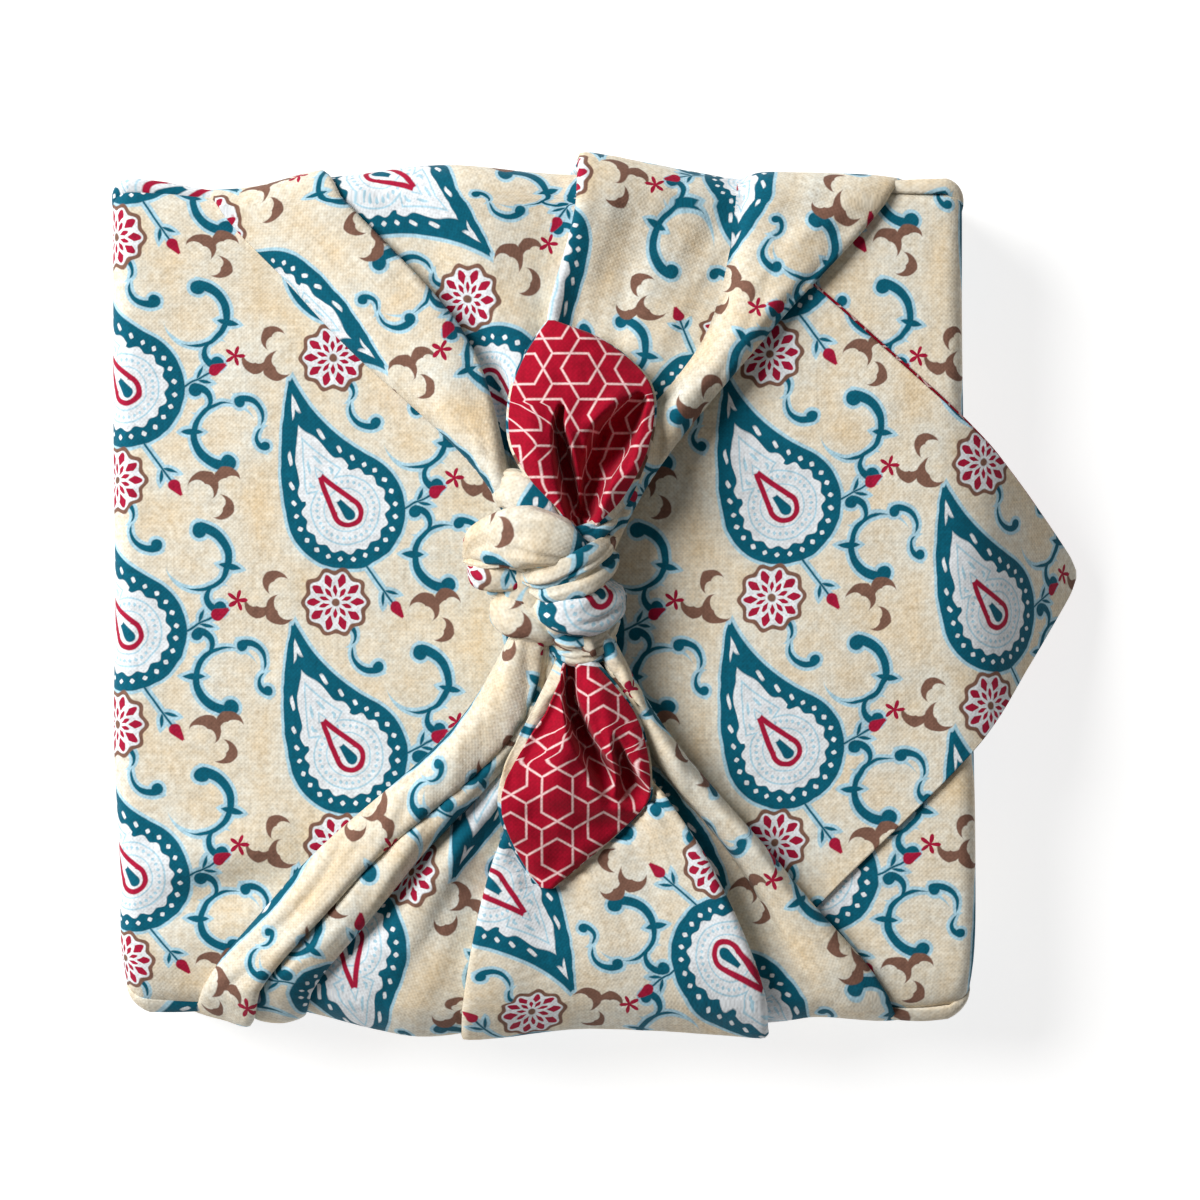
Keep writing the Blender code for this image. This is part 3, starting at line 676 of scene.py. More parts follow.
def sheet(name, outer, places, thickness, material, flip=False):
    """A closed thin sheet. outer is its outer face as rows of points, and places says where each
    corner of each of its quads lies on the flat cloth. flip says that its rows run the other way
    round, so that its quads face in."""
    side = -1.0 if flip else 1.0
    normals = directions(np.cross(np.gradient(outer, axis=0), np.gradient(outer, axis=1)))
    inner = outer - normals * side * thickness
    rows, columns = outer.shape[:2]
    index = np.arange(rows * columns).reshape(rows, columns)
    below = index + rows * columns
    quads = [corners(index).reshape(-1, 4), corners(below).reshape(-1, 4)[:, ::-1]]
    uvs = [places.reshape(-1, 4, 2), places.reshape(-1, 4, 2)[:, ::-1]]
    rims = (
        (index[0, :-1], index[0, 1:], places[0, :, 0], places[0, :, 3]),
        (index[-1, 1:], index[-1, :-1], places[-1, :, 2], places[-1, :, 1]),
        (index[1:, 0], index[:-1, 0], places[:, 0, 1], places[:, 0, 0]),
        (index[:-1, -1], index[1:, -1], places[:, -1, 3], places[:, -1, 2]),
    )
    lift = rows * columns
    for near, far, near_place, far_place in rims:
        quads.append(np.stack([near, far, far + lift, near + lift], axis=1))
        uvs.append(np.stack([near_place, far_place, far_place, near_place], axis=1))
    faces = np.concatenate(quads)
    uv = np.concatenate(uvs)
    if flip:
        faces, uv = faces[:, ::-1], uv[:, ::-1]
    points = np.concatenate([outer.reshape(-1, 3), inner.reshape(-1, 3)])
    return new_piece(name, settled(points), faces.tolist(), uv, material)


Crease = namedtuple("Crease", "x1 y1 x2 y2 bow half_width depth")


def creased(creases, x, y):
    """How far creases raise the cloth at places in plan. A crease is a soft trough, or with a
    negative depth a ridge, from one point to another, bowed sideways."""
    lift = np.zeros_like(x)
    for c in creases:
        dx, dy = c.x2 - c.x1, c.y2 - c.y1
        length = math.hypot(dx, dy)
        along = ((x - c.x1) * dx + (y - c.y1) * dy) / length**2
        aside = ((y - c.y1) * dx - (x - c.x1) * dy) / length
        inside = unit(along)
        fade = np.sin(np.pi * inside) ** 0.6
        off = (aside - c.bow * 4 * inside * (1 - inside)) / c.half_width
        lift -= c.depth * fade * np.exp(-off * off)
    return lift


# ---------------------------------------------------------------------------------------------
# The crossing strip

STRIP_CREASES = (
    Crease(-98, -62, -58, -54.5, 0, 4.8, -2.2),
    Crease(-97, -71.5, -58, -63.5, 0, 3.8, 2.6),
    Crease(-97, -77, -84, -71, 0, 3.0, 0.9),
    Crease(-84, -82, -62, -73.5, 0, 3.4, -0.7),
    Crease(-90, -91, -68, -79, 1, 3.4, 1.0),
    Crease(-90, -40, -40, -50, -3, 5, -0.5),
    Crease(-95, 60, -62, 66, 2, 5, 0.5),
    Crease(-88, 20, -20, 8, 4, 9, -0.6),
    Crease(-92, -8, -26, -2, -3, 7, 0.4),
    Crease(34, 20, 92, 50, 4, 8, -0.5),
    Crease(30, -6, 96, -14, -3, 9, -0.5),
    Crease(40, 10, 100, 8, 2, 7, 0.4),
)


def strip_line():
    """The strip in side view, a row for each step: the point (x, z), the way out from it (x, z),
    the way travelled, the radius that its margins turn over, and how far out in y they lie."""
    x, z, heading, travel = STRIP_START_X, TOP, 0.0, 0.0
    rows = []
    for before, leg in zip((LEGS[0], *LEGS), LEGS):
        for step in range(leg.steps + (leg is LEGS[-1])):
            share = step / leg.steps
            turned = math.radians(leg.turn) * share
            blend = min(share * 2, 1.0) if leg.length else 1.0
            across = before.across_radius + (leg.across_radius - before.across_radius) * blend
            reach = before.reach_y + (leg.reach_y - before.reach_y) * blend
            rows.append((*strip_step(leg, share, x, z, heading), -math.sin(heading - turned),
                         math.cos(heading - turned), travel + leg.length * share + leg.radius * turned,
                         across, reach))
        x, z = strip_step(leg, 1.0, x, z, heading)
        heading -= math.radians(leg.turn)
        travel += way_of(leg)
    return np.array(rows), travel


def way_of(leg):
    return leg.length + leg.radius * math.radians(leg.turn)


def strip_step(leg, share, x, z, heading):
    """Where a share of a leg ends that starts at a point with a heading. A leg is straight or an
    arc that turns down."""
    end = heading - math.radians(leg.turn) * share
    ahead = leg.length * share
    return (x + math.cos(heading) * ahead + leg.radius * (math.sin(heading) - math.sin(end)),
            z + math.sin(heading) * ahead - leg.radius * (math.cos(heading) - math.cos(end)))


STRIP_LINE, STRIP_LENGTH = strip_line()
# Ways along the strip: where the flap starts, and where it passes the parcel's middle.
FLAP_START = STRIP_LENGTH - sum(way_of(leg) for leg in FLAP_LEGS)
FLAP_MIDDLE = FLAP_START + SHOULDER_X
SIDE_SWELL = 0.9  # how far the -X and +X sides swell at half their height
# How unevenly the cloth lies on the parcel's top: size and seed of the noise, and height.
TOP_UNEVENNESS = ((42.0, 3.1, 0.9), (17.0, 8.4, 0.3))
TOP_RIM_X, TOP_RIM_Y = (97.0, 16.0), (93.0, 10.0)  # where it ends, and over what width it fades


def top_lift(x, y):
    """How far the cloth on top rises and sinks, the same for both of its layers there."""
    places = np.stack([x, y], axis=-1)
    soft = sum(uneven(places, size, seed) * height for size, seed, height in TOP_UNEVENNESS)
    edge = 1.0
    for way, (rim, fade) in ((x, TOP_RIM_X), (y, TOP_RIM_Y)):
        edge = edge * unit((rim - np.abs(way)) / fade)
    return (soft + creased(STRIP_CREASES, x, y)) * edge


FLAT_HALF = FLAP_REACH_Y - MARGIN_RADIUS  # how much of the strip's half width lies flat
FULL_HALF = FLAT_HALF + MARGIN_RADIUS * math.pi / 2 + STRIP_OVER


def strip_half_width(travel):
    """How far the strip reaches to either side, across the cloth."""
    left = np.maximum(STRIP_LENGTH - travel, 0.0)
    half = np.minimum(left * FLAP_SLOPE + FLAP_TIP_RADIUS, FULL_HALF)
    blunt = unit(1 - left / (FLAP_TIP_RADIUS * 1.6))
    return half * (1 - 0.6 * blunt**3)


def strip_surface(rows, across, off=0.0):
    """Points of the strip, or of a surface some way off it: rows of its line by places across."""
    x, z, out_x, out_z, travel, radius, reach = (rows[:, i : i + 1] for i in range(7))
    flat = reach - radius
    beyond = np.maximum(np.abs(across) - flat, 0.0)
    angle = np.minimum(beyond / radius, math.pi / 2)
    hanging = np.maximum(beyond - radius * math.pi / 2, 0.0)
    y = np.sign(across) * (np.minimum(np.abs(across), flat) + (radius + off) * np.sin(angle))
    y = y + FLAP_TIP_Y * unit(1 - strip_half_width(travel) / FLAP_CENTRING)
    drop = radius * (1 - np.cos(angle)) + hanging - off * np.cos(angle)
    x = x - out_x * drop
    z = z - out_z * drop
    on_side = np.abs(out_x) * (1 - np.minimum(np.abs(y) / FLAP_REACH_Y, 1) ** 2)
    x = x + np.sign(out_x) * SIDE_SWELL * np.sin(np.pi * unit(z / TOP)) * on_side
    on_top = unit((out_z - 0.75) * 5) * (z > TOP / 2)
    z = z + top_lift(x, y) * on_top
    return np.stack([x - LEAN * y, y, z], axis=2)


def strip_across(travel):
    """Places across the strip at each row, closer together where its margins turn over."""
    margin, middle = STRIP_SHARES
    flat = FLAT_HALF / FULL_HALF
    shares = np.concatenate([
        np.linspace(-1, -flat, margin, endpoint=False),
        np.linspace(-flat, flat, middle, endpoint=False),
        np.linspace(flat, 1, margin + 1),
    ])
    return strip_half_width(travel)[:, None] * shares[None, :]


def strip_places(travel, across, start):
    """Where the strip's corners lie on the flat cloth, counted along it from a start."""
    along = np.repeat(travel[:, None] - start, across.shape[1], axis=1)
    return corners(np.stack([along, across], axis=2))


def crossing_strip(material):
    """The cloth's one diagonal, round the whole parcel to the hanging tip."""
    travel = STRIP_LINE[:, 4]
    across = strip_across(travel)
    outer = strip_surface(STRIP_LINE, across)
    return sheet("crossing_strip", outer, strip_places(travel, across, FLAP_MIDDLE), CLOTH, material)


LINING_START_X = 30.0
LINING_END = 0.5  # how far it stops before the flap's tip
LINING_HALF = 88.0  # its greatest half width
LINING_PEEK, LINING_PEEK_LOW = 0.9, 0.5  # how far it shows past the flap's +Y and -Y edges
LINING_GAP = 0.06
LINING_STEPS = 61


def flap_lining(material):
    """The reverse under the flap, out to its tip. Only its edge and the hanging part show."""
    travel = STRIP_LINE[:, 4]
    rows = STRIP_LINE[(travel > FLAP_MIDDLE + LINING_START_X) & (travel < STRIP_LENGTH - LINING_END)]
    travel = rows[:, 4]
    half = np.minimum(strip_half_width(travel), LINING_HALF)[:, None]
    across = np.linspace(-1, 1, LINING_STEPS)[None, :] * half
    across = across + np.where(across > 0, LINING_PEEK, LINING_PEEK_LOW) * np.abs(across) / half
    outer = strip_surface(rows, across, -CLOTH - LINING_GAP - LINING)
    return sheet("flap_lining", outer, strip_places(travel, across, 0.0), LINING, material, flip=True)


# ---------------------------------------------------------------------------------------------
# The tails

Fold = namedtuple("Fold", "name x_foot x_edge x_mid x_neck off_foot off_edge off_mid off_neck")
TAIL_MID_Y = 62.0
TAIL_NECK_Y = 26.0
TAIL_ROOT_Y = 3.0  # inside the knot
KNOT_X = 4.0  # where the lines of both tails gather
FOOT_SWELL = 0.3  # share of its stand-off that a line has at the very foot
FOOT_REACH = 14.0  # and how far up it gains the whole of it
ROOT_GATHER = 0.40  # a line's distance from KNOT_X at the root, as a share of that at the neck
TAIL_STEPS = 7  # between two folds
FOOT_WAYS = (0.2, 0.6, 1.1, 1.7)  # ways up of a tail's rows at the foot
TAIL_WALL_FROM = 2.6  # and of the first of those on the wall
TAIL_ROWS = (14, 8, 74)  # up the wall, round the upper edge, and over the top
TAIL_GRAIN = (5.0, 34.0)  # size of its small unevenness, across and along
TAIL_NARROWING = 1.6  # how much finer that gets towards the neck
TAIL_RELIEF = 1.5  # how much higher its folds stand on top than over the sides
TAIL_LEAST = 1.5  # how far a tail stays off the parcel's top, so that it lies on the flap
TAIL_SOFT = 0.6  # how softly it comes to lie there
EAR_NEAR = 1.5  # how near in plan an ear's point is over one of a tail
EAR_CLEARANCE = 1.6

UPPER_FOLDS = (
    Fold("left edge, turned under", -89, -71, -43, -9, -1.2, -0.6, 0.3, 4.5),
    Fold("left edge", -94, -76, -48, -12, 1.0, 1.0, 3.4, 7),
    Fold("left band", -88, -65, -38, -10, 1.2, 2.0, 5.6, 10),
    Fold("left band, right edge", -70, -50, -20, -7.5, 1.4, 3.0, 5.4, 9),
    Fold("left band, turned under", -72, -53.5, -23, -7.6, 0.8, 1.4, 2.0, 5),
    Fold("left trough", -62, -41, -15, -5.5, 0.8, 1.4, 1.8, 4.5),
    Fold("left swell", -32, -20, -8.5, -2.5, 1.8, 3.6, 3.8, 6.5),
    Fold("middle trough", 3, 9.2, 1.8, 2.2, 1.2, 2.2, 1.6, 5),
    Fold("middle pleat", 2, 8.2, 1, 1.5, 2.4, 6.6, 4.8, 6.5),
    Fold("middle hollow", 14, 19, 9, 4, 2.4, 5.4, 2.8, 5.5),
    Fold("right swell", 32, 33, 24, 8, 1.8, 3.0, 3.8, 6.5),
    Fold("right trough", 44, 44, 37, 12, 1.0, 1.4, 2.2, 5.5),
    Fold("right pleat", 50, 49.5, 41.5, 14.5, 1.5, 2.8, 5.0, 9.5),
    Fold("right band", 72, 65, 46.5, 18, 1.4, 2.8, 5.6, 9.5),
    Fold("right edge", 94, 79.5, 51, 22.5, 1.0, 1.8, 3.6, 7),
    Fold("right edge, turned under", 89, 74, 46, 19, -1.2, -0.6, 0.3, 4.5),
)
UPPER_PANELS = ((0, 4), (4, 7), (7, 11), (11, 15))
LOWER_FOLDS = (
    Fold("left edge, turned under", -91, -74.6, -51, -14, -1.2, -0.6, 0.3, 3.5),
    Fold("left edge", -96, -80.6, -56.4, -18, 1.0, 1.2, 3.6, 6.0),
    Fold("first roll", -86, -75, -50.4, -14, 1.2, 3.2, 6.2, 9.4),
    Fold("first roll, right edge", -76, -67.8, -42.8, -5.6, 1.2, 4.6, 6.8, 8.8),
    Fold("deep groove", -76.4, -68.5, -43.8, -5.2, 0.6, 0.6, 0.7, 7.8),
    Fold("groove floor", -75.2, -67.3, -42.5, -4.9, 0.6, 0.6, 0.7, 7.6),
    Fold("second roll, left flank", -73.4, -65.6, -40.8, -4.5, 1.3, 3.4, 5.9, 7.8),
    Fold("second roll", -66, -59.8, -36.0, -3.6, 1.4, 4.0, 6.8, 7.8),
    Fold("second roll, right edge", -58, -55.6, -32.4, -2.6, 1.2, 2.4, 5.0, 7.2),
    Fold("second groove", -59, -57, -31.8, -1.6, 0.7, 0.9, 1.6, 6.8),
    Fold("third roll", -48, -46, -24.5, -0.4, 1.4, 2.4, 4.6, 7.0),
    Fold("left hollow", -36, -31, -18, 0.6, 1.6, 3.2, 2.8, 7.0),
    Fold("crease", -18, -16.6, -10.4, 1.2, 1.0, 2.0, 1.8, 7.0),
    Fold("middle panel, left", -19, -17.5, -11.4, 1.6, 1.6, 3.8, 4.8, 8),
    Fold("middle panel", 10, 10, 6, 4, 2.0, 3.6, 3.8, 9),
    Fold("middle panel, right", 38, 37, 27, 10.5, 1.8, 3.6, 5.4, 9),
    Fold("middle panel, right edge", 48, 50.5, 38.2, 16, 1.6, 4.4, 8.4, 10.4),
    Fold("middle panel, turned under", 46, 47.5, 35, 13.5, 0.8, 1.2, 2.0, 5),
    Fold("deep hollow", 54, 55.5, 41.4, 17.2, 0.8, 0.9, 0.9, 1.8),
    Fold("hollow, far side", 60, 61, 45.2, 19.0, 0.9, 1.0, 1.2, 2.6),
    Fold("right band, inner edge", 66, 66.4, 47.2, 19.6, 1.0, 1.7, 4.6, 7.8),
    Fold("right band", 78, 74.5, 52.2, 23, 1.2, 2.0, 6.8, 9.4),
    Fold("right edge", 94, 80.5, 54.8, 25, 1.0, 1.2, 3.8, 6.5),
    Fold("right edge, turned under", 89, 75, 50, 21.5, -1.2, -0.6, 0.3, 4),
)
LOWER_PANELS = ((0, 4), (4, 9), (9, 12), (12, 17), (17, 23))
UPPER_CREASES = (
    Crease(-74, 88, -38, 52, 1.0, 1.6, 0.6),
    Crease(-60, 94, -30, 62, -1.0, 1.4, 0.4),
    Crease(70, 88, 44, 56, 1.2, 1.6, 0.6),
    Crease(20, 92, 12, 40, 1.5, 2.2, 0.5),
    Crease(58, 92, 44, 60, 1.0, 2.0, 0.6),
    Crease(-33, 92, -12, 50, -1.0, 2.4, 0.5),
)
LOWER_CREASES = (
    Crease(-80, -92, -50, -58, 1.5, 1.3, 0.7),
    Crease(-74, -92, -56, -72, -1.0, 1.1, 0.5),
    Crease(-40, -50, -18, -26, 0.8, 1.2, 0.6),
    Crease(-60, -86, -44, -70, 0.8, 1.0, 0.4),
    Crease(66, -82, 46, -52, -0.8, 1.2, 0.5),
    Crease(2, -92, -2, -52, 1.0, 3.0, 0.5),
    Crease(24, -94, 16, -56, -1.5, 3.2, 0.6),
)
WALL_AND_EDGE = WALL + math.pi / 2 * EDGE_RADIUS


def tail_stations():
    """Ways travelled up a side and over the top, and the carrier there: the point (y, z) and the
    way out (y, z)."""
    top = HALF_Y - EDGE_RADIUS - TAIL_ROOT_Y
    up, round_edge, over = TAIL_ROWS
    ways = np.concatenate([
        FOOT_WAYS,
        np.linspace(TAIL_WALL_FROM, WALL, up, endpoint=False),
        np.linspace(WALL, WALL_AND_EDGE, round_edge, endpoint=False),
        np.linspace(WALL_AND_EDGE, WALL_AND_EDGE + top, over),
    ])
    rows = []
    for way in ways:
        if way <= WALL:
            short = max(FOOT_RADIUS - way, 0.0)
            inset = FOOT_RADIUS - math.sqrt(FOOT_RADIUS**2 - short**2)
            rows.append((HALF_Y - inset, way, 1.0, 0.0))
        elif way <= WALL_AND_EDGE:
            turn = (way - WALL) / EDGE_RADIUS
            y = HALF_Y - EDGE_RADIUS * (1 - math.cos(turn))
            rows.append((y, WALL + EDGE_RADIUS * math.sin(turn), math.cos(turn), math.sin(turn)))
        else:
            rows.append((HALF_Y - EDGE_RADIUS - (way - WALL_AND_EDGE), TOP, 0.0, 1.0))
    return ways, np.array(rows)


def tail_surface(folds, creases, side):
    """A tail's outer face as rows from the foot into the knot, each across all its folds."""
    ways, carrier = tail_stations()
    on_y, on_z, out_y, up = (carrier[:, i : i + 1] for i in range(4))
    end = HALF_Y - EDGE_RADIUS + WALL_AND_EDGE
    stops = [0, WALL + math.pi / 4 * EDGE_RADIUS,
             end - TAIL_MID_Y, end - TAIL_NECK_Y, end - TAIL_ROOT_Y]
    table = np.array([fold[1:] for fold in folds], float)
    root_x = KNOT_X + (table[:, 3] - KNOT_X) * ROOT_GATHER
    xs = np.column_stack([table[:, :4], root_x])
    offs = np.column_stack([table[:, 4:], table[:, 7]])
    lines = smooth_through(stops, np.stack([xs, offs], axis=2).swapaxes(0, 1), ways)
    across = np.linspace(0, len(folds) - 1, (len(folds) - 1) * TAIL_STEPS + 1)
    grid = smooth_through(range(len(folds)), lines.swapaxes(0, 1), across).swapaxes(0, 1)
    x, off = grid[..., 0], grid[..., 1]

    off = off * np.minimum(FOOT_SWELL + ways / FOOT_REACH, 1.0)[:, None]
    share = unit((ways - WALL_AND_EDGE) / (end - TAIL_NECK_Y - WALL_AND_EDGE))[:, None]
    grain = np.stack([x / TAIL_GRAIN[0] * (1 + TAIL_NARROWING * share),
                      np.repeat(ways[:, None] / TAIL_GRAIN[1], x.shape[1], axis=1)], axis=2)
    off = off + uneven(grain, 1.0, 5.0 + side) * (0.5 + 0.5 * share) * up
    off = off + creased(creases, x, side * on_y) * up
    off = off + (off - TAIL_LEAST) * (TAIL_RELIEF - 1) * up * (off > TAIL_LEAST)
    soft = TAIL_LEAST * up + TAIL_SOFT
    eased = soft + TAIL_SOFT * (np.exp((np.minimum(off, soft) - soft) / TAIL_SOFT) - 1)
    off = np.where(off < soft, eased, off) * up + off * (1 - up)
    return np.stack([x, side * (on_y + off * out_y), on_z + off * up], axis=2)


def held_down(points, ear):
    """Points of a tail kept clear of the underside of the ear above them."""
    leaf = np.array([vertex.co for vertex in ear.data.vertices]) / MM
    tree = kdtree.KDTree(len(leaf))
    for number, (x, y, _) in enumerate(leaf):
        tree.insert((x, y, 0.0), number)
    tree.balance()
    held = points.copy()
    for point in held.reshape(-1, 3):
        _, number, away = tree.find((point[0], point[1], 0.0))
        if away < EAR_NEAR and point[2] > TOP + 1:
            point[2] = max(min(point[2], leaf[number, 2] - EAR_CLEARANCE), TOP + 2)
    return held


def tail_places(loose, panels, side):
    """Where a tail's corners lie on the flat cloth. Each panel is laid out from its own middle
    line, so that the print breaks in the grooves between them."""
    arcs = arcs_across(loose)
    parts = []
    for first, last in panels:
        low, high = first * TAIL_STEPS, last * TAIL_STEPS
        middle = (low + high) // 2
        line = loose[:, middle]
        slant = np.arcsin(directions(np.gradient(line, axis=0))[:, :1])
        aside = arcs[:, low : high + 1] - arcs[:, middle : middle + 1]
        cloth_x = line[0, 0] + aside * np.cos(slant)
        cloth_way = arcs_along(line)[:, None] + aside * np.sin(slant)
        parts.append(corners(np.stack([-cloth_x, side * (HALF_Y + cloth_way)], axis=2)))
    return np.concatenate(parts, axis=1)


def tail(name, folds, panels, creases, side, ear, material):
    """A tail with its side's cloth: folds that run from the foot into the knot."""
    loose = tail_surface(folds, creases, side)
    places = tail_places(loose, panels, side)
    return sheet(name, held_down(loose, ear), places, CLOTH, material, flip=side > 0)


# ---------------------------------------------------------------------------------------------
# The pocket corners

POCKET_OUT = 1.3  # how far a pocket stands off the side at its corner
POCKET_START = -0.3  # round the corner, where it comes out from under the strip
POCKET_IN = 0.5  # and at its inner end, under the tail
POCKET_SWELL = 0.7  # how much further it stands off in its middle
POCKET_FOOT = 0.5  # how high it starts
POCKET_TOP = 34.4
POCKET_DIP = 2.2  # how much lower its top is at its inner end
POCKET_TOP_X = 68.0  # how far from the middle its inner end is at the top
POCKET_FOOT_X = 86.0
POCKET_LIP = ((0.3, 0.4), (0.42, 1.1), (0.32, 2.0), (0.0, 2.8))  # up, and in over the edge
POCKET_LEVELS = 22
POCKET_PRINT_LEVEL = 10  # the level whose length its print keeps
LIP_PITCH = 0.9  # cloth from one row of the lip to the next
CORNER_STEPS, POCKET_STEPS = 9, 18
LEAD_STEPS, LEAD_PITCH, LEAD_TUCK = 2, 1.5, 0.35  # before the corner, tucked in under the strip


def pocket_line(face, share):
    """A pocket in plan, a share of the way up: its points (x, y) round the corner and in along
    the side, and how high each of them ends."""
    step = np.arange(-LEAD_STEPS, CORNER_STEPS + 1)
    turned = unit(step / CORNER_STEPS)
    turn = math.pi / 2 * turned
    radius = EDGE_RADIUS + POCKET_START + (POCKET_OUT - POCKET_START) * turned**1.5
    round_x = face - EDGE_RADIUS + radius * np.cos(turn) - LEAD_TUCK * (step < 0)
    round_y = HALF_Y - EDGE_RADIUS + radius * np.sin(turn) + LEAD_PITCH * np.minimum(step, 0)
    along = np.arange(1, POCKET_STEPS + 1) / POCKET_STEPS
    inner = POCKET_FOOT_X + (POCKET_TOP_X - POCKET_FOOT_X) * share
    swell = POCKET_SWELL * math.sin(math.pi * share) * np.sin(math.pi * along)
    x = face - EDGE_RADIUS - (face - EDGE_RADIUS - inner) * along
    y = HALF_Y + POCKET_OUT + (POCKET_IN - POCKET_OUT) * along + swell
    tops = np.concatenate([WALL + (POCKET_TOP - WALL) * np.sin(turn),
                           POCKET_TOP - POCKET_DIP * along**1.5])
    return np.stack([np.concatenate([round_x, x]), np.concatenate([round_y, y])], axis=1), tops


def pocket(name, sign_x, sign_y, material):
    """One pocket corner: cloth from a side, folded round its upright corner."""
    levels = np.linspace(0, 1, POCKET_LEVELS)
    rows = []
    stages = [(level, 0.0, 0.0) for level in levels] + [(1.0, *row) for row in POCKET_LIP]
    for share, up, inward in stages:
        line, tops = pocket_line(SIDE_X[sign_x], share)
        ahead = np.gradient(line, axis=0)
        aside = directions(np.stack([-ahead[:, 1], ahead[:, 0]], axis=1))
        line = line + aside * inward * ((tops - WALL) / (POCKET_TOP - WALL))[:, None]
        z = POCKET_FOOT + (tops - POCKET_FOOT) * share + up
        x = sign_x * line[:, 0] - LEAN * sign_y * line[:, 1]
        rows.append(np.stack([x, sign_y * line[:, 1], z], axis=1))
    outer = np.array(rows)
    v = HALF_Y - EDGE_RADIUS - LEAD_STEPS * LEAD_PITCH + arcs_along(outer[POCKET_PRINT_LEVEL])
    lip = LIP_PITCH * np.arange(1, len(POCKET_LIP) + 1)
    rise = np.concatenate([levels * POCKET_TOP, POCKET_TOP + lip])
    if sign_x > 0:
        u = LEGS[0].length + EDGE_RADIUS * math.pi / 2 + WALL - FLAP_MIDDLE - rise
    else:
        u = rise - SHOULDER_X - FLAP_RADIUS * math.pi / 2 - WALL
    place = np.stack(np.meshgrid(u, sign_y * v, indexing="ij"), axis=2)
    return sheet(name, outer, corners(place), CLOTH, material, flip=sign_x * sign_y < 0)


# ---------------------------------------------------------------------------------------------
# The knot

Turn = namedtuple("Turn", "x y up half_width half_thick")
# Each band has its print's place on the cloth and the depth of its creases, and then its turns.
BANDS = {
    "core": ((0, 0, 0.2), Turn(3, 19, 8, 6, 6), Turn(2, 8, 11, 10.5, 8), Turn(5, -3, 9, 9.5, 7),
             Turn(7, -11, 8, 5, 4.6)),
    "upper_fold": ((30, 20, 0.12), Turn(-11, 25.4, 9, 3.4, 2.6), Turn(-7.5, 25.2, 13.2, 4.9, 3),
                   Turn(-2.5, 22.2, 15.2, 5.2, 3.2), Turn(2.5, 18, 14.6, 4, 3)),
    "collar": ((-8, 8, 0.24), Turn(3, 14.5, 15.5, 2.4, 2), Turn(9, 14.6, 17.4, 2.6, 2.2),
               Turn(13.6, 17.4, 14, 2.2, 2), Turn(16, 21, 10, 1.6, 1.8)),
    "cap": ((12.5, 14, 0.1), Turn(-18, 10.2, 11, 1.6, 1.8), Turn(-13, 13.2, 16, 5, 3.4),
            Turn(-5, 14.6, 20.6, 6.8, 3.9), Turn(3, 13.4, 21.2, 6, 3.7), Turn(9.4, 10.8, 18.5, 3.2, 3)),
    "cap_rim": ((16, 20, 0.1), Turn(-18, 9.4, 11, 1.1, 1.2), Turn(-13.4, 8.9, 15.4, 1.4, 1.3),
                Turn(-8.6, 9.2, 17.6, 1.5, 1.4), Turn(-4, 7.4, 17.8, 1.3, 1.4)),
    "loop": ((3, 24, 0.1), Turn(-16.8, 8.2, 10.6, 2.6, 2.4), Turn(-12.4, 6.4, 13.2, 4.1, 3.4),
             Turn(-7.4, 5.4, 13.8, 3.4, 3), Turn(-3.6, 4.6, 13.4, 2, 2.4)),
    "slip": ((28, 3, 0.24), Turn(-12.4, 2.4, 8.4, 2, 2.2), Turn(-7.4, 1.4, 12, 2.9, 2.6),
             Turn(-2, 0.8, 13.6, 2.6, 2.6)),
    "first_turn": ((12, 2, 0.2), Turn(-5, 5.6, 15, 2.2, 2.2), Turn(1.5, 6.4, 19.8, 3.3, 2.9),
                   Turn(8, 9.2, 20.2, 3.2, 3), Turn(13, 12.2, 16, 2.6, 2.6),
                   Turn(15.6, 14.4, 11, 1.8, 2)),
    "second_turn": ((0, 12, 0.2), Turn(-3.6, 3, 14, 1.6, 2.2), Turn(2.4, 2.2, 18.4, 2.5, 2.6),
                    Turn(8.6, 4.2, 19, 3, 2.8), Turn(13.4, 7.6, 15.4, 2.8, 2.6),
                    Turn(16, 11, 10, 1.9, 2)),
    "third_turn": ((-12, -16, 0.1), Turn(-2, -0.4, 12.6, 2.2, 2.4), Turn(3, -2.4, 16.8, 4.2, 3.4),
                   Turn(8.4, -2.8, 17.2, 5, 3.8), Turn(13.4, -0.6, 14, 5, 3.8), Turn(17, 3, 8, 3.4, 3)),
    "under_turn": ((2, -24, 0.24), Turn(1, -6.6, 10.6, 1.8, 2.2), Turn(6.2, -8.8, 12.8, 2.4, 2.6),
                   Turn(12, -7.8, 11.6, 2.6, 2.6), Turn(16.4, -3.4, 8, 2, 2.4)),
    "bulge": ((17, 17, 0.1), Turn(-10.8, 1.2, 7, 2.8, 3), Turn(-7.2, -1.8, 10.8, 5.4, 4.6),
              Turn(-1.8, -4.6, 12, 5.4, 4.6), Turn(3, -8.4, 9.6, 3.4, 3.4)),
    "neck": ((20, -10, 0.24), Turn(1.4, -9.6, 9.4, 2.2, 2.4), Turn(7, -11.2, 11.4, 3.2, 3),
             Turn(12.8, -10.4, 9.8, 2.6, 2.6), Turn(15.6, -7.6, 6.8, 1.8, 2)),
}
BAND_STEPS = 10  # between two turns
BAND_SIDES = 44
BAND_END = 0.45  # share of its section that a band has at either end
BAND_SQUARE = 0.78  # below 1 the section is flatter on its faces than an ellipse
BAND_UNEVENNESS = 0.22
BAND_GRAIN = (7.0, 1.3)  # size of that along it in mm, and how fine it is round it
# Its creases, in radians round the section: how many, where the first lies, how far apart they
# are, how far they sway, and their half width.
BAND_CREASES, CREASE_AT, CREASE_APART, CREASE_SWAY, CREASE_HALF = 3, 0.55, 0.75, 0.5, 0.15


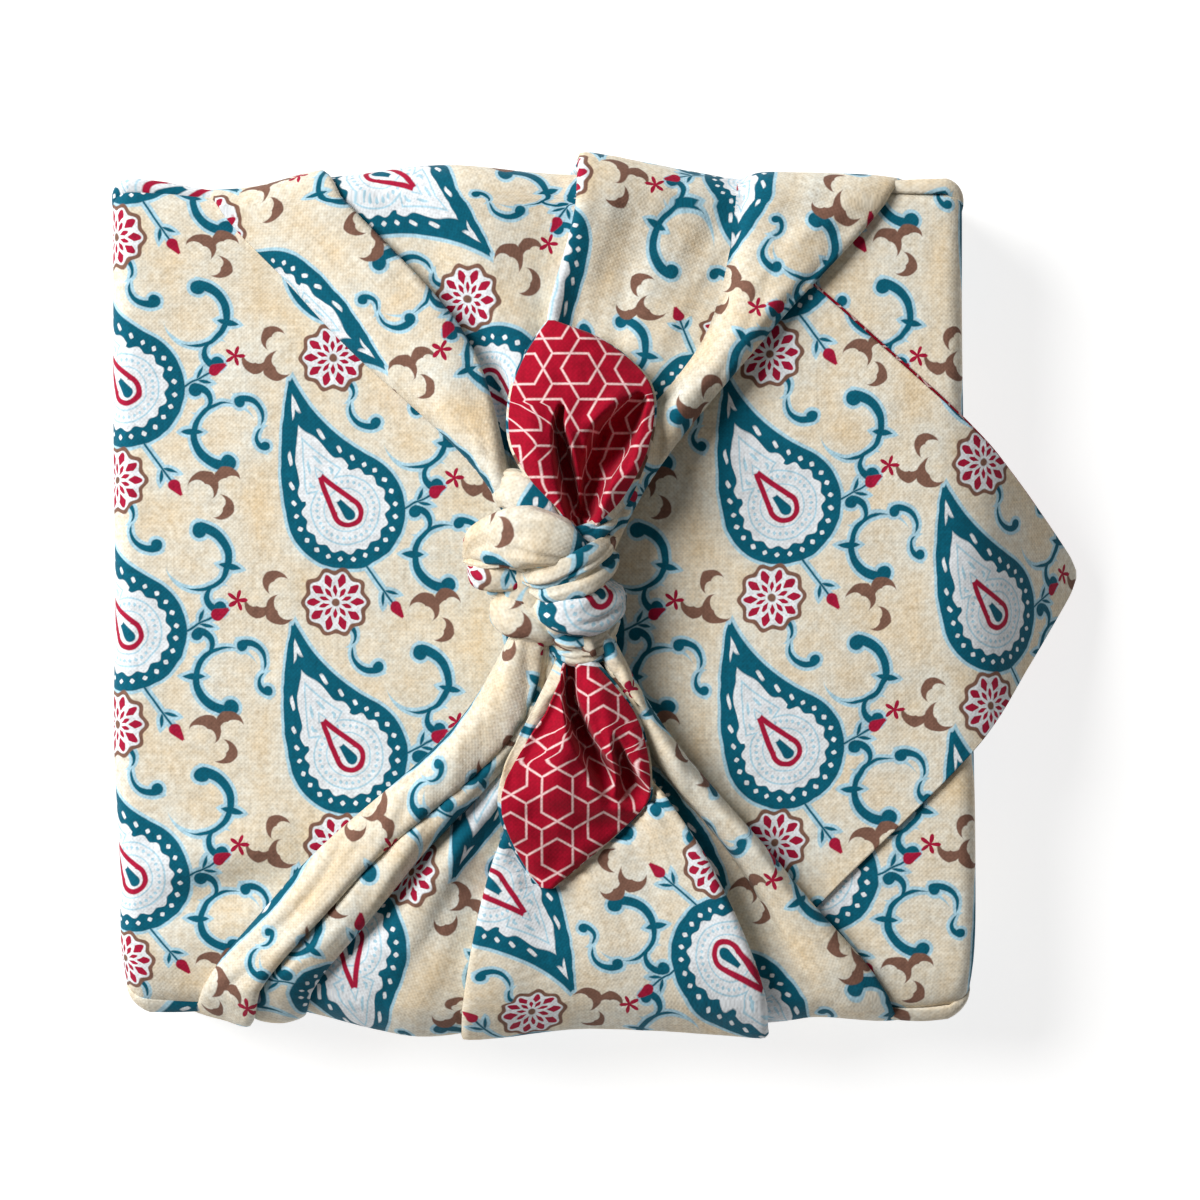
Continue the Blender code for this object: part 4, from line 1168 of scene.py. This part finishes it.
def band(turns, place, crease_depth, seed):
    """The points and cloth places of one band: a flattened tube along its path, with creases of
    a depth that is a share of its half thickness."""
    at = np.linspace(0, len(turns) - 1, (len(turns) - 1) * BAND_STEPS + 1)
    rows = smooth_through(range(len(turns)), np.array(turns, float), at)
    line = rows[:, :3] + (0, 0, TOP)
    ahead = directions(np.gradient(line, axis=0))
    side = directions(np.cross(ahead, (0, 0, 1)))
    out = np.cross(side, ahead)
    run = arcs_along(line)
    share = run / run[-1]
    ends = BAND_END + (1 - BAND_END) * unit(np.minimum(share, 1 - share) * 5) ** 0.6
    turn = np.linspace(0, 2 * math.pi, BAND_SIDES + 1)
    circle = np.stack([np.cos(turn), np.sin(turn)], axis=1)
    scale = np.ones((len(line), BAND_SIDES + 1))
    for crease in range(BAND_CREASES):
        sway = np.sin(share * 3.0 + seed * 2.1 + crease * 1.9)
        middle = CREASE_AT + CREASE_APART * crease + CREASE_SWAY * sway
        gap = (turn[None, :] - middle[:, None]) / CREASE_HALF
        scale -= crease_depth * np.exp(-gap * gap) * (0.4 + 0.6 * np.sin(math.pi * share)[:, None])
    spots = np.concatenate([
        np.repeat(run[:, None, None] / BAND_GRAIN[0], BAND_SIDES + 1, axis=1),
        np.repeat(circle[None] * BAND_GRAIN[1], len(line), axis=0),
    ], axis=2)
    scale += uneven(spots, 1.0, seed * 3.3) * BAND_UNEVENNESS
    wide, thick = (np.sign(circle) * np.abs(circle) ** BAND_SQUARE).T
    points = (
        line[:, None]
        + side[:, None] * (rows[:, 3] * ends)[:, None, None] * (wide * scale)[..., None]
        + out[:, None] * (rows[:, 4] * ends)[:, None, None] * (thick * scale)[..., None]
    )
    around = arcs_across(points).mean(axis=0)
    places = np.stack(np.meshgrid(run + place[0], around + place[1], indexing="ij"), axis=2)
    return points, places


def knot(material):
    """All bands of the knot in one piece. Each is a tube of quads, closed by fans of triangles."""
    points, faces, uvs, base = [], [], [], 0
    for seed, ((*place, crease_depth), *turns) in enumerate(BANDS.values()):
        rings, places = band(turns, place, crease_depth, seed)
        index = base + np.arange(len(rings) * BAND_SIDES).reshape(len(rings), BAND_SIDES)
        index = np.concatenate([index, index[:, :1]], axis=1)
        points += [rings[:, :BAND_SIDES].reshape(-1, 3), rings[[0, -1], :BAND_SIDES].mean(axis=1)]
        faces += corners(index).reshape(-1, 4).tolist()
        uvs.append(corners(places).reshape(-1, 2))
        base += len(rings) * BAND_SIDES + 2
        for end, hub, step in ((0, base - 2, 1), (-1, base - 1, -1)):
            ring, spots = index[end][::step], places[end][::step]
            faces += np.stack([np.full(BAND_SIDES, hub), ring[:-1], ring[1:]], axis=1).tolist()
            centre = np.repeat(spots.mean(axis=0)[None], BAND_SIDES, axis=0)
            uvs.append(np.stack([centre, spots[:-1], spots[1:]], axis=1).reshape(-1, 2))
    return new_piece("knot", np.concatenate(points), faces, np.concatenate(uvs), material)


# ---------------------------------------------------------------------------------------------
# The ears

Leaf = namedtuple("Leaf", "left_x left_y right_x right_y up")
UPPER_EAR = (
    Leaf(6.6, 13.0, 10.2, 13.0, 15.0), Leaf(2.6, 20.2, 15.4, 18.2, 16.5),
    Leaf(-4.0, 27.8, 19.6, 23.6, 17.5), Leaf(-8.2, 36.5, 24.0, 34.5, 17.0),
    Leaf(-8.0, 46.8, 25.4, 44.8, 15.5), Leaf(-5.2, 55.0, 22.6, 52.0, 13.5),
    Leaf(-1.8, 60.8, 13.6, 59.4, 11.5), Leaf(0.4, 63.8, 2.8, 63.8, 10.0),
)
LOWER_EAR = (
    Leaf(3.2, -11.8, 12.0, -13.2, 13.0), Leaf(-0.6, -20.0, 17.6, -20.0, 15.5),
    Leaf(-4.8, -28.5, 21.8, -26.8, 16.0), Leaf(-9.6, -39.0, 24.2, -36.6, 15.5),
    Leaf(-10.4, -47.4, 23.4, -45.4, 13.8), Leaf(-7.6, -55.4, 16.6, -52.8, 9.8),
    Leaf(-4.2, -61.4, 8.2, -60.0, 7.4), Leaf(-1.4, -64.8, 2.2, -65.2, 6.6),
)
# A hollow of an ear runs through points in plan, each with a half width and a depth, or with a
# minus sign a height. A higher power gives it steeper sides.
Hollow = namedtuple("Hollow", "name power path")
UPPER_EAR_HOLLOWS = (
    Hollow("left valley", 4.0, ((4.0, 43.6, 0.7, 3.5), (3.3, 39.8, 1.1, 9.0), (4.1, 34.5, 1.7, 12.0),
                                (5.2, 28.0, 1.9, 10.0), (6.6, 21, 1.6, 8.0), (8.3, 14.5, 1.3, 5.0))),
    Hollow("right basin", 7.0, ((21.6, 45.4, 1.6, 4.5), (18.6, 41.4, 3.2, 10.5), (15.6, 37.2, 4.3, 12.5),
                                (13.4, 32.6, 4.0, 12.5), (11.4, 27, 2.9, 10.0), (9.8, 20.5, 1.7, 6.0))),
    Hollow("cup", 2.0, ((10, 41, 3.5, 0.4), (9.6, 36.5, 3.4, 2.0), (9.2, 31, 3.2, 5.0),
                        (9.0, 24, 3.0, 5.5), (9, 18, 2.0, 4.0))),
    Hollow("left lobe", 2.0, ((-4.4, 47, 4.5, -0.6), (-3.6, 38, 4.0, -2.0), (-0.8, 29.5, 3.2, -2.2),
                              (3.2, 21.5, 2.2, -1.6), (5.6, 16, 1.5, -0.6))),
    Hollow("right lobe", 2.0, ((23.6, 38.5, 2.2, -0.8), (20.6, 33, 2.6, -2.0), (16.6, 27.5, 2.8, -2.6),
                               (13.2, 22, 2.3, -2.0), (11, 16.5, 1.8, -0.8))),
    Hollow("crown", 2.0, ((12, 47.5, 7, -1.2), (5, 52, 9, -1.8), (3, 58, 7, -0.8))),
    Hollow("basin ridge", 2.0, ((18.4, 48.4, 1.6, -0.4), (13.6, 43.4, 1.6, -1.4),
                                (8.4, 38.6, 1.4, -0.8))),
    Hollow("basin crease", 2.0, ((15.6, 42.4, 0.9, 0.2), (13.2, 38.5, 0.8, 1.3), (11.6, 34, 0.8, 0.6))),
    Hollow("tongue crease", 2.0, ((7.6, 38, 0.8, 0.2), (8.6, 32.5, 0.8, 1.3), (9.0, 26, 0.8, 0.8))),
    Hollow("lobe dent", 2.0, ((18.2, 36.5, 0.9, 0.2), (19.0, 32, 1.0, 1.2), (15.8, 27, 0.9, 0.2))),
    Hollow("crown dent", 2.0, ((-5.5, 51, 1.8, 0.1), (1, 48, 2.2, 0.5), (9, 50, 2.0, 0.1))),
    Hollow("tip dent", 2.0, ((12, 56, 2.0, 0.2), (15, 50.5, 2.2, 0.6), (21, 48.5, 2.0, 0.2))),
)
LOWER_EAR_HOLLOWS = (
    Hollow("deep groove", 4.0, ((6.0, -13.5, 1.2, 5.0), (5.9, -21.5, 1.4, 11.0), (7.8, -28, 1.9, 13.0),
                                (10.6, -34, 2.1, 11.5), (13.2, -38, 2.4, 8.0), (16, -43, 3.0, 3.0))),
    Hollow("second groove", 3.4, ((16, -31, 0.9, 1.5), (17.2, -34.5, 1.2, 8.0),
                                  (18.5, -38.6, 1.8, 10.0), (19.9, -43, 3.0, 7.0), (20.4, -47, 3, 1))),
    Hollow("left groove", 2.0, ((4.4, -19, 1.3, 1.0), (1.0, -27.5, 2.4, 3.4), (-2.4, -33, 2.8, 3.0),
                                (-5.0, -39, 3.0, 0.8))),
    Hollow("middle crest", 2.0, ((3.8, -23, 2.0, -0.8), (4.2, -31, 3.6, -2.4), (3.4, -40, 5.0, -1.8),
                                 (2.4, -47, 6.0, -0.6))),
    Hollow("right lobe", 2.0, ((10.4, -16, 2.4, -1.0), (12.6, -22, 3.4, -2.6), (14.6, -28.5, 3.2, -2.2),
                               (14.8, -35.5, 1.8, -1.8), (17.4, -44, 2.0, -1.6))),
    Hollow("far right", 2.0, ((20, -29, 1.8, -0.8), (22, -36.5, 2.0, -1.6), (22.2, -43, 2, -0.8))),
    Hollow("lobe dent", 2.0, ((11.6, -24, 0.9, 0.2), (13.4, -31, 0.9, 1.2), (15.6, -37.5, 0.9, 0.4))),
    Hollow("tip dent", 2.0, ((-8.6, -50, 2.0, 0.4), (2, -47.5, 3.0, 1.2), (12, -50.5, 2.6, 1.4),
                             (20, -48, 2.0, 0.6))),
    Hollow("left dent", 2.0, ((-3.4, -27, 0.8, 0.3), (-6.6, -34.5, 1.0, 0.8), (-8, -43, 1.2, 0.2))),
)
# By how much a reverse is held back at its two side edges: (share along, mm).
UPPER_TRIMS = (
    ((0, 1.6), (0.15, 1.2), (0.4, 0.6), (1, 0.4)),
    ((0, 2.6), (0.12, 2.4), (0.28, 1.6), (0.4, 0.6), (1, 0.4)),
)
LOWER_TRIMS = (
    ((0, 2.0), (0.12, 3.2), (0.24, 3.8), (0.36, 2.2), (0.5, 0.9), (1, 0.4)),
    ((0, 1.2), (0.2, 0.5), (1, 0.4)),
)
NO_TRIMS = (((0, 0), (1, 0)),) * 2
# An ear points to +Y or -Y. Its lattice is shifted so far on the cloth.
Ear = namedtuple("Ear", "side outline hollows trims lattice_shift")
EARS = {
    "upper": Ear(1, UPPER_EAR, UPPER_EAR_HOLLOWS, UPPER_TRIMS, (2, 0)),
    "lower": Ear(-1, LOWER_EAR, LOWER_EAR_HOLLOWS, LOWER_TRIMS, (1, 3)),
}
EAR_EDGE_DROP = 2.0  # how far both long edges turn down
EAR_DEEPEST = 13.5  # beyond this an ear's hollows get only slowly deeper
EAR_SOFT_DEEPEST = 2.0  # and never by more than this
EAR_STEPS = (90, 96)  # along it and across
HOLLOW_STEPS = 17  # along a hollow's path
EAR_UNEVENNESS = ((9.0, 12.0, 1.1), (4.0, 17.0, 0.4))  # size and seed of the noise, and height
EAR_SKIP = 0.03  # share of its length at the root that a reverse leaves out
EAR_WIDENED = 2  # steps by which the front's hollows are wider, so that the reverse fits in them
EAR_LIFTS = (0.2, 1.0)  # of the front and the reverse
EAR_SIDE_SHARE = 0.5  # how much a slope across an ear spreads its print
EAR_PRINT = 0.94  # how much print lies on a length in plan


def hollowed(hollows, plan):
    """How deep an ear's hollows are at places in plan."""
    depth = np.zeros(plan.shape[:2])
    for hollow in hollows:
        stops = range(len(hollow.path))
        along = np.linspace(0, stops[-1], HOLLOW_STEPS + 1)
        line = smooth_through(stops, np.array(hollow.path, float), along)
        away = np.full(plan.shape[:2], 1e9)
        here = np.ones(plan.shape)  # half width and depth of the nearest point of the hollow
        for near, far in zip(line[:-1], line[1:]):
            step = (far - near)[:2]
            share = unit((plan - near[:2]) @ step / (step @ step))[..., None]
            found = np.linalg.norm(plan - near[:2] - share * step, axis=2)
            closer = found < away
            away = np.where(closer, found, away)
            here = np.where(closer[..., None], near[2:] + share * (far - near)[2:], here)
        depth += here[..., 1] * np.exp(-((away / here[..., 0]) ** hollow.power))
    over = np.maximum(depth - EAR_DEEPEST, 0.0)
    soft = EAR_SOFT_DEEPEST * (1 - np.exp(-over / EAR_SOFT_DEEPEST))
    return np.minimum(depth, EAR_DEEPEST) + soft


def lowered(heights, steps):
    """Each height brought down to the lowest within some steps of the grid."""
    for _ in range(steps):
        wide = np.pad(heights, 1, mode="edge")
        heights = np.minimum.reduce([heights, wide[:-2, 1:-1], wide[2:, 1:-1], wide[1:-1, :-2],
                                     wide[1:-1, 2:]])
    return heights


def ear_layer(name, ear, on_top, material):
    """One layer of an ear: its front below, or its reverse on top, which is held back at the root
    and the sides so that the front shows beside it."""
    trims, shift = (ear.trims, ear.lattice_shift) if on_top else (NO_TRIMS, (0, 0))
    along = np.linspace(EAR_SKIP if on_top else 0, 1, EAR_STEPS[0] + 1)
    rows = smooth_through(np.linspace(0, 1, len(ear.outline)), np.array(ear.outline, float), along)
    left, right = rows[:, 0:2], rows[:, 2:4]
    width = np.linalg.norm(right - left, axis=1)
    low = np.interp(along, *zip(*trims[0])) / width
    high = 1 - np.interp(along, *zip(*trims[1])) / width
    share = np.linspace(0, 1, EAR_STEPS[1] + 1)[None, :]
    across = low[:, None] + (high - low)[:, None] * share
    plan = left[:, None] + (right - left)[:, None] * across[..., None]
    edge = EAR_EDGE_DROP * np.abs(2 * across - 1) ** 4
    wave = sum(uneven(plan, size, seed) * height for size, seed, height in EAR_UNEVENNESS)
    z = rows[:, 4:5] - edge - hollowed(ear.hollows, plan) + wave * unit(along * 4)[:, None]
    z = TOP + EAR_LIFTS[on_top] + (z if on_top else lowered(z, EAR_WIDENED))
    arcs = arcs_across(np.stack([plan[..., 0], z * EAR_SIDE_SHARE], axis=2))
    middle = EAR_STEPS[1] // 2
    u = arcs - arcs[:, middle : middle + 1] + plan[:, middle : middle + 1, 0] - KNOT_X
    u = u * EAR_PRINT + shift[0]
    v = -ear.side * np.abs(plan[..., 1]) * EAR_PRINT + shift[1]
    upper = ear.side > 0
    place = np.stack([u, v] if upper else [v, -u], axis=2)
    outer = np.concatenate([plan, z[..., None]], axis=2)
    return sheet(name, outer, corners(place), LINING if on_top else CLOTH, material, flip=upper)


# ---------------------------------------------------------------------------------------------
# The room, and the whole wrap in it

# The light and the camera, in metres.
WINDOW_AT, WINDOW_AIM = (-0.98, 0.54, 1.0), (0, 0, 0.02)
WINDOW_SIZE, WINDOW_POWER, WINDOW_COLOUR = 0.85, 29.5, (1.0, 0.99, 0.97)
ROOM_COLOUR, ROOM_STRENGTH = (1.0, 0.955, 0.90, 1.0), 0.16
PAPER_TINTS = ((0.40, 0.40, 0.40, 1), (0.44, 0.44, 0.44, 1))
PAPER_GLOW = 0.78
TABLE_REACH, TABLE_Z = 3.0, -0.0004
CAMERA_AT = (0.0126, 0.0005, 0.80)


def window():
    """One large soft light from the upper left."""
    data = bpy.data.lights.new("window", "AREA")
    data.shape = "DISK"
    data.size = WINDOW_SIZE
    data.energy = WINDOW_POWER
    data.color = WINDOW_COLOUR
    lamp = in_scene("window", data)
    lamp.location = WINDOW_AT
    lamp.rotation_euler = (Vector(WINDOW_AIM) - Vector(WINDOW_AT)).to_track_quat("-Z", "Y").to_euler()


def table_top():
    """The pale surface that the wrap rests on."""
    mesh = bpy.data.meshes.new("table_top")
    ends = ((-1, -1), (1, -1), (1, 1), (-1, 1))
    mesh.from_pydata([(x * TABLE_REACH, y * TABLE_REACH, 0) for x, y in ends], [], [(0, 1, 2, 3)])
    material = bpy.data.materials.new("pale_paper")
    material.use_nodes = True
    tree = material.node_tree
    shader = tree.nodes["Principled BSDF"]
    place = tree.nodes.new("ShaderNodeTexCoord")
    grain = unevenness(tree, place.outputs["Object"], 260.0, 3.0)
    tree.links.new(mix(tree, *PAPER_TINTS, grain + 0.5).socket, shader.inputs["Base Color"])
    for socket, value in (("Roughness", 0.9), ("Emission Color", (1.0, 1.0, 1.0, 1.0)),
                          ("Emission Strength", PAPER_GLOW)):
        shader.inputs[socket].default_value = value
    mesh.materials.append(material)
    table = in_scene("table_top", mesh)
    table.location.z = TABLE_Z


def studio():
    scene = bpy.context.scene
    scene.view_settings.view_transform = "Standard"
    world = bpy.data.worlds.new("pale_room")
    world.use_nodes = True
    room = world.node_tree.nodes["Background"]
    room.inputs["Color"].default_value = ROOM_COLOUR
    room.inputs["Strength"].default_value = ROOM_STRENGTH
    scene.world = world
    window()
    table_top()
    camera = bpy.data.cameras.new("camera")
    camera.lens = 100
    camera.sensor_width = 36
    scene.camera = in_scene("camera", camera)
    scene.camera.location = CAMERA_AT


def build():
    groups = {
        "weave": weave_group(),
        "crumple": crumple_group(),
        "print": print_group(),
        "lattice": lattice_group(),
    }
    front = front_cotton(groups)
    reverse = reverse_cotton(groups)
    strip = crossing_strip(front)
    pockets = [
        pocket(f"pocket_{number}", sign_x, sign_y, front)
        for number, (sign_x, sign_y) in enumerate(((1, 1), (-1, 1), (-1, -1), (1, -1)), 1)
    ]
    tied = knot(front)
    upper_front, lower_front = (
        ear_layer(f"{name}_ear_front", ear, False, front) for name, ear in EARS.items())
    upper_reverse, lower_reverse = (
        ear_layer(f"{name}_ear_reverse", ear, True, reverse) for name, ear in EARS.items())
    upper = tail("upper_tail", UPPER_FOLDS, UPPER_PANELS, UPPER_CREASES, 1, upper_front, front)
    lower = tail("lower_tail", LOWER_FOLDS, LOWER_PANELS, LOWER_CREASES, -1, lower_front, front)
    lining = flap_lining(reverse)

    fronts = [strip, upper, lower, *pockets, tied, upper_front, lower_front]
    for piece in fronts:
        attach(piece, "root")
        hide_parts("wrap_cloth")
    for piece, node in ((upper_reverse, "reverse_upper_ear"), (lower_reverse, "reverse_lower_ear"),
                        (lining, "reverse_flap_tip")):
        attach(piece, "root")
        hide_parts(node)


clear_stage()
build()
studio()
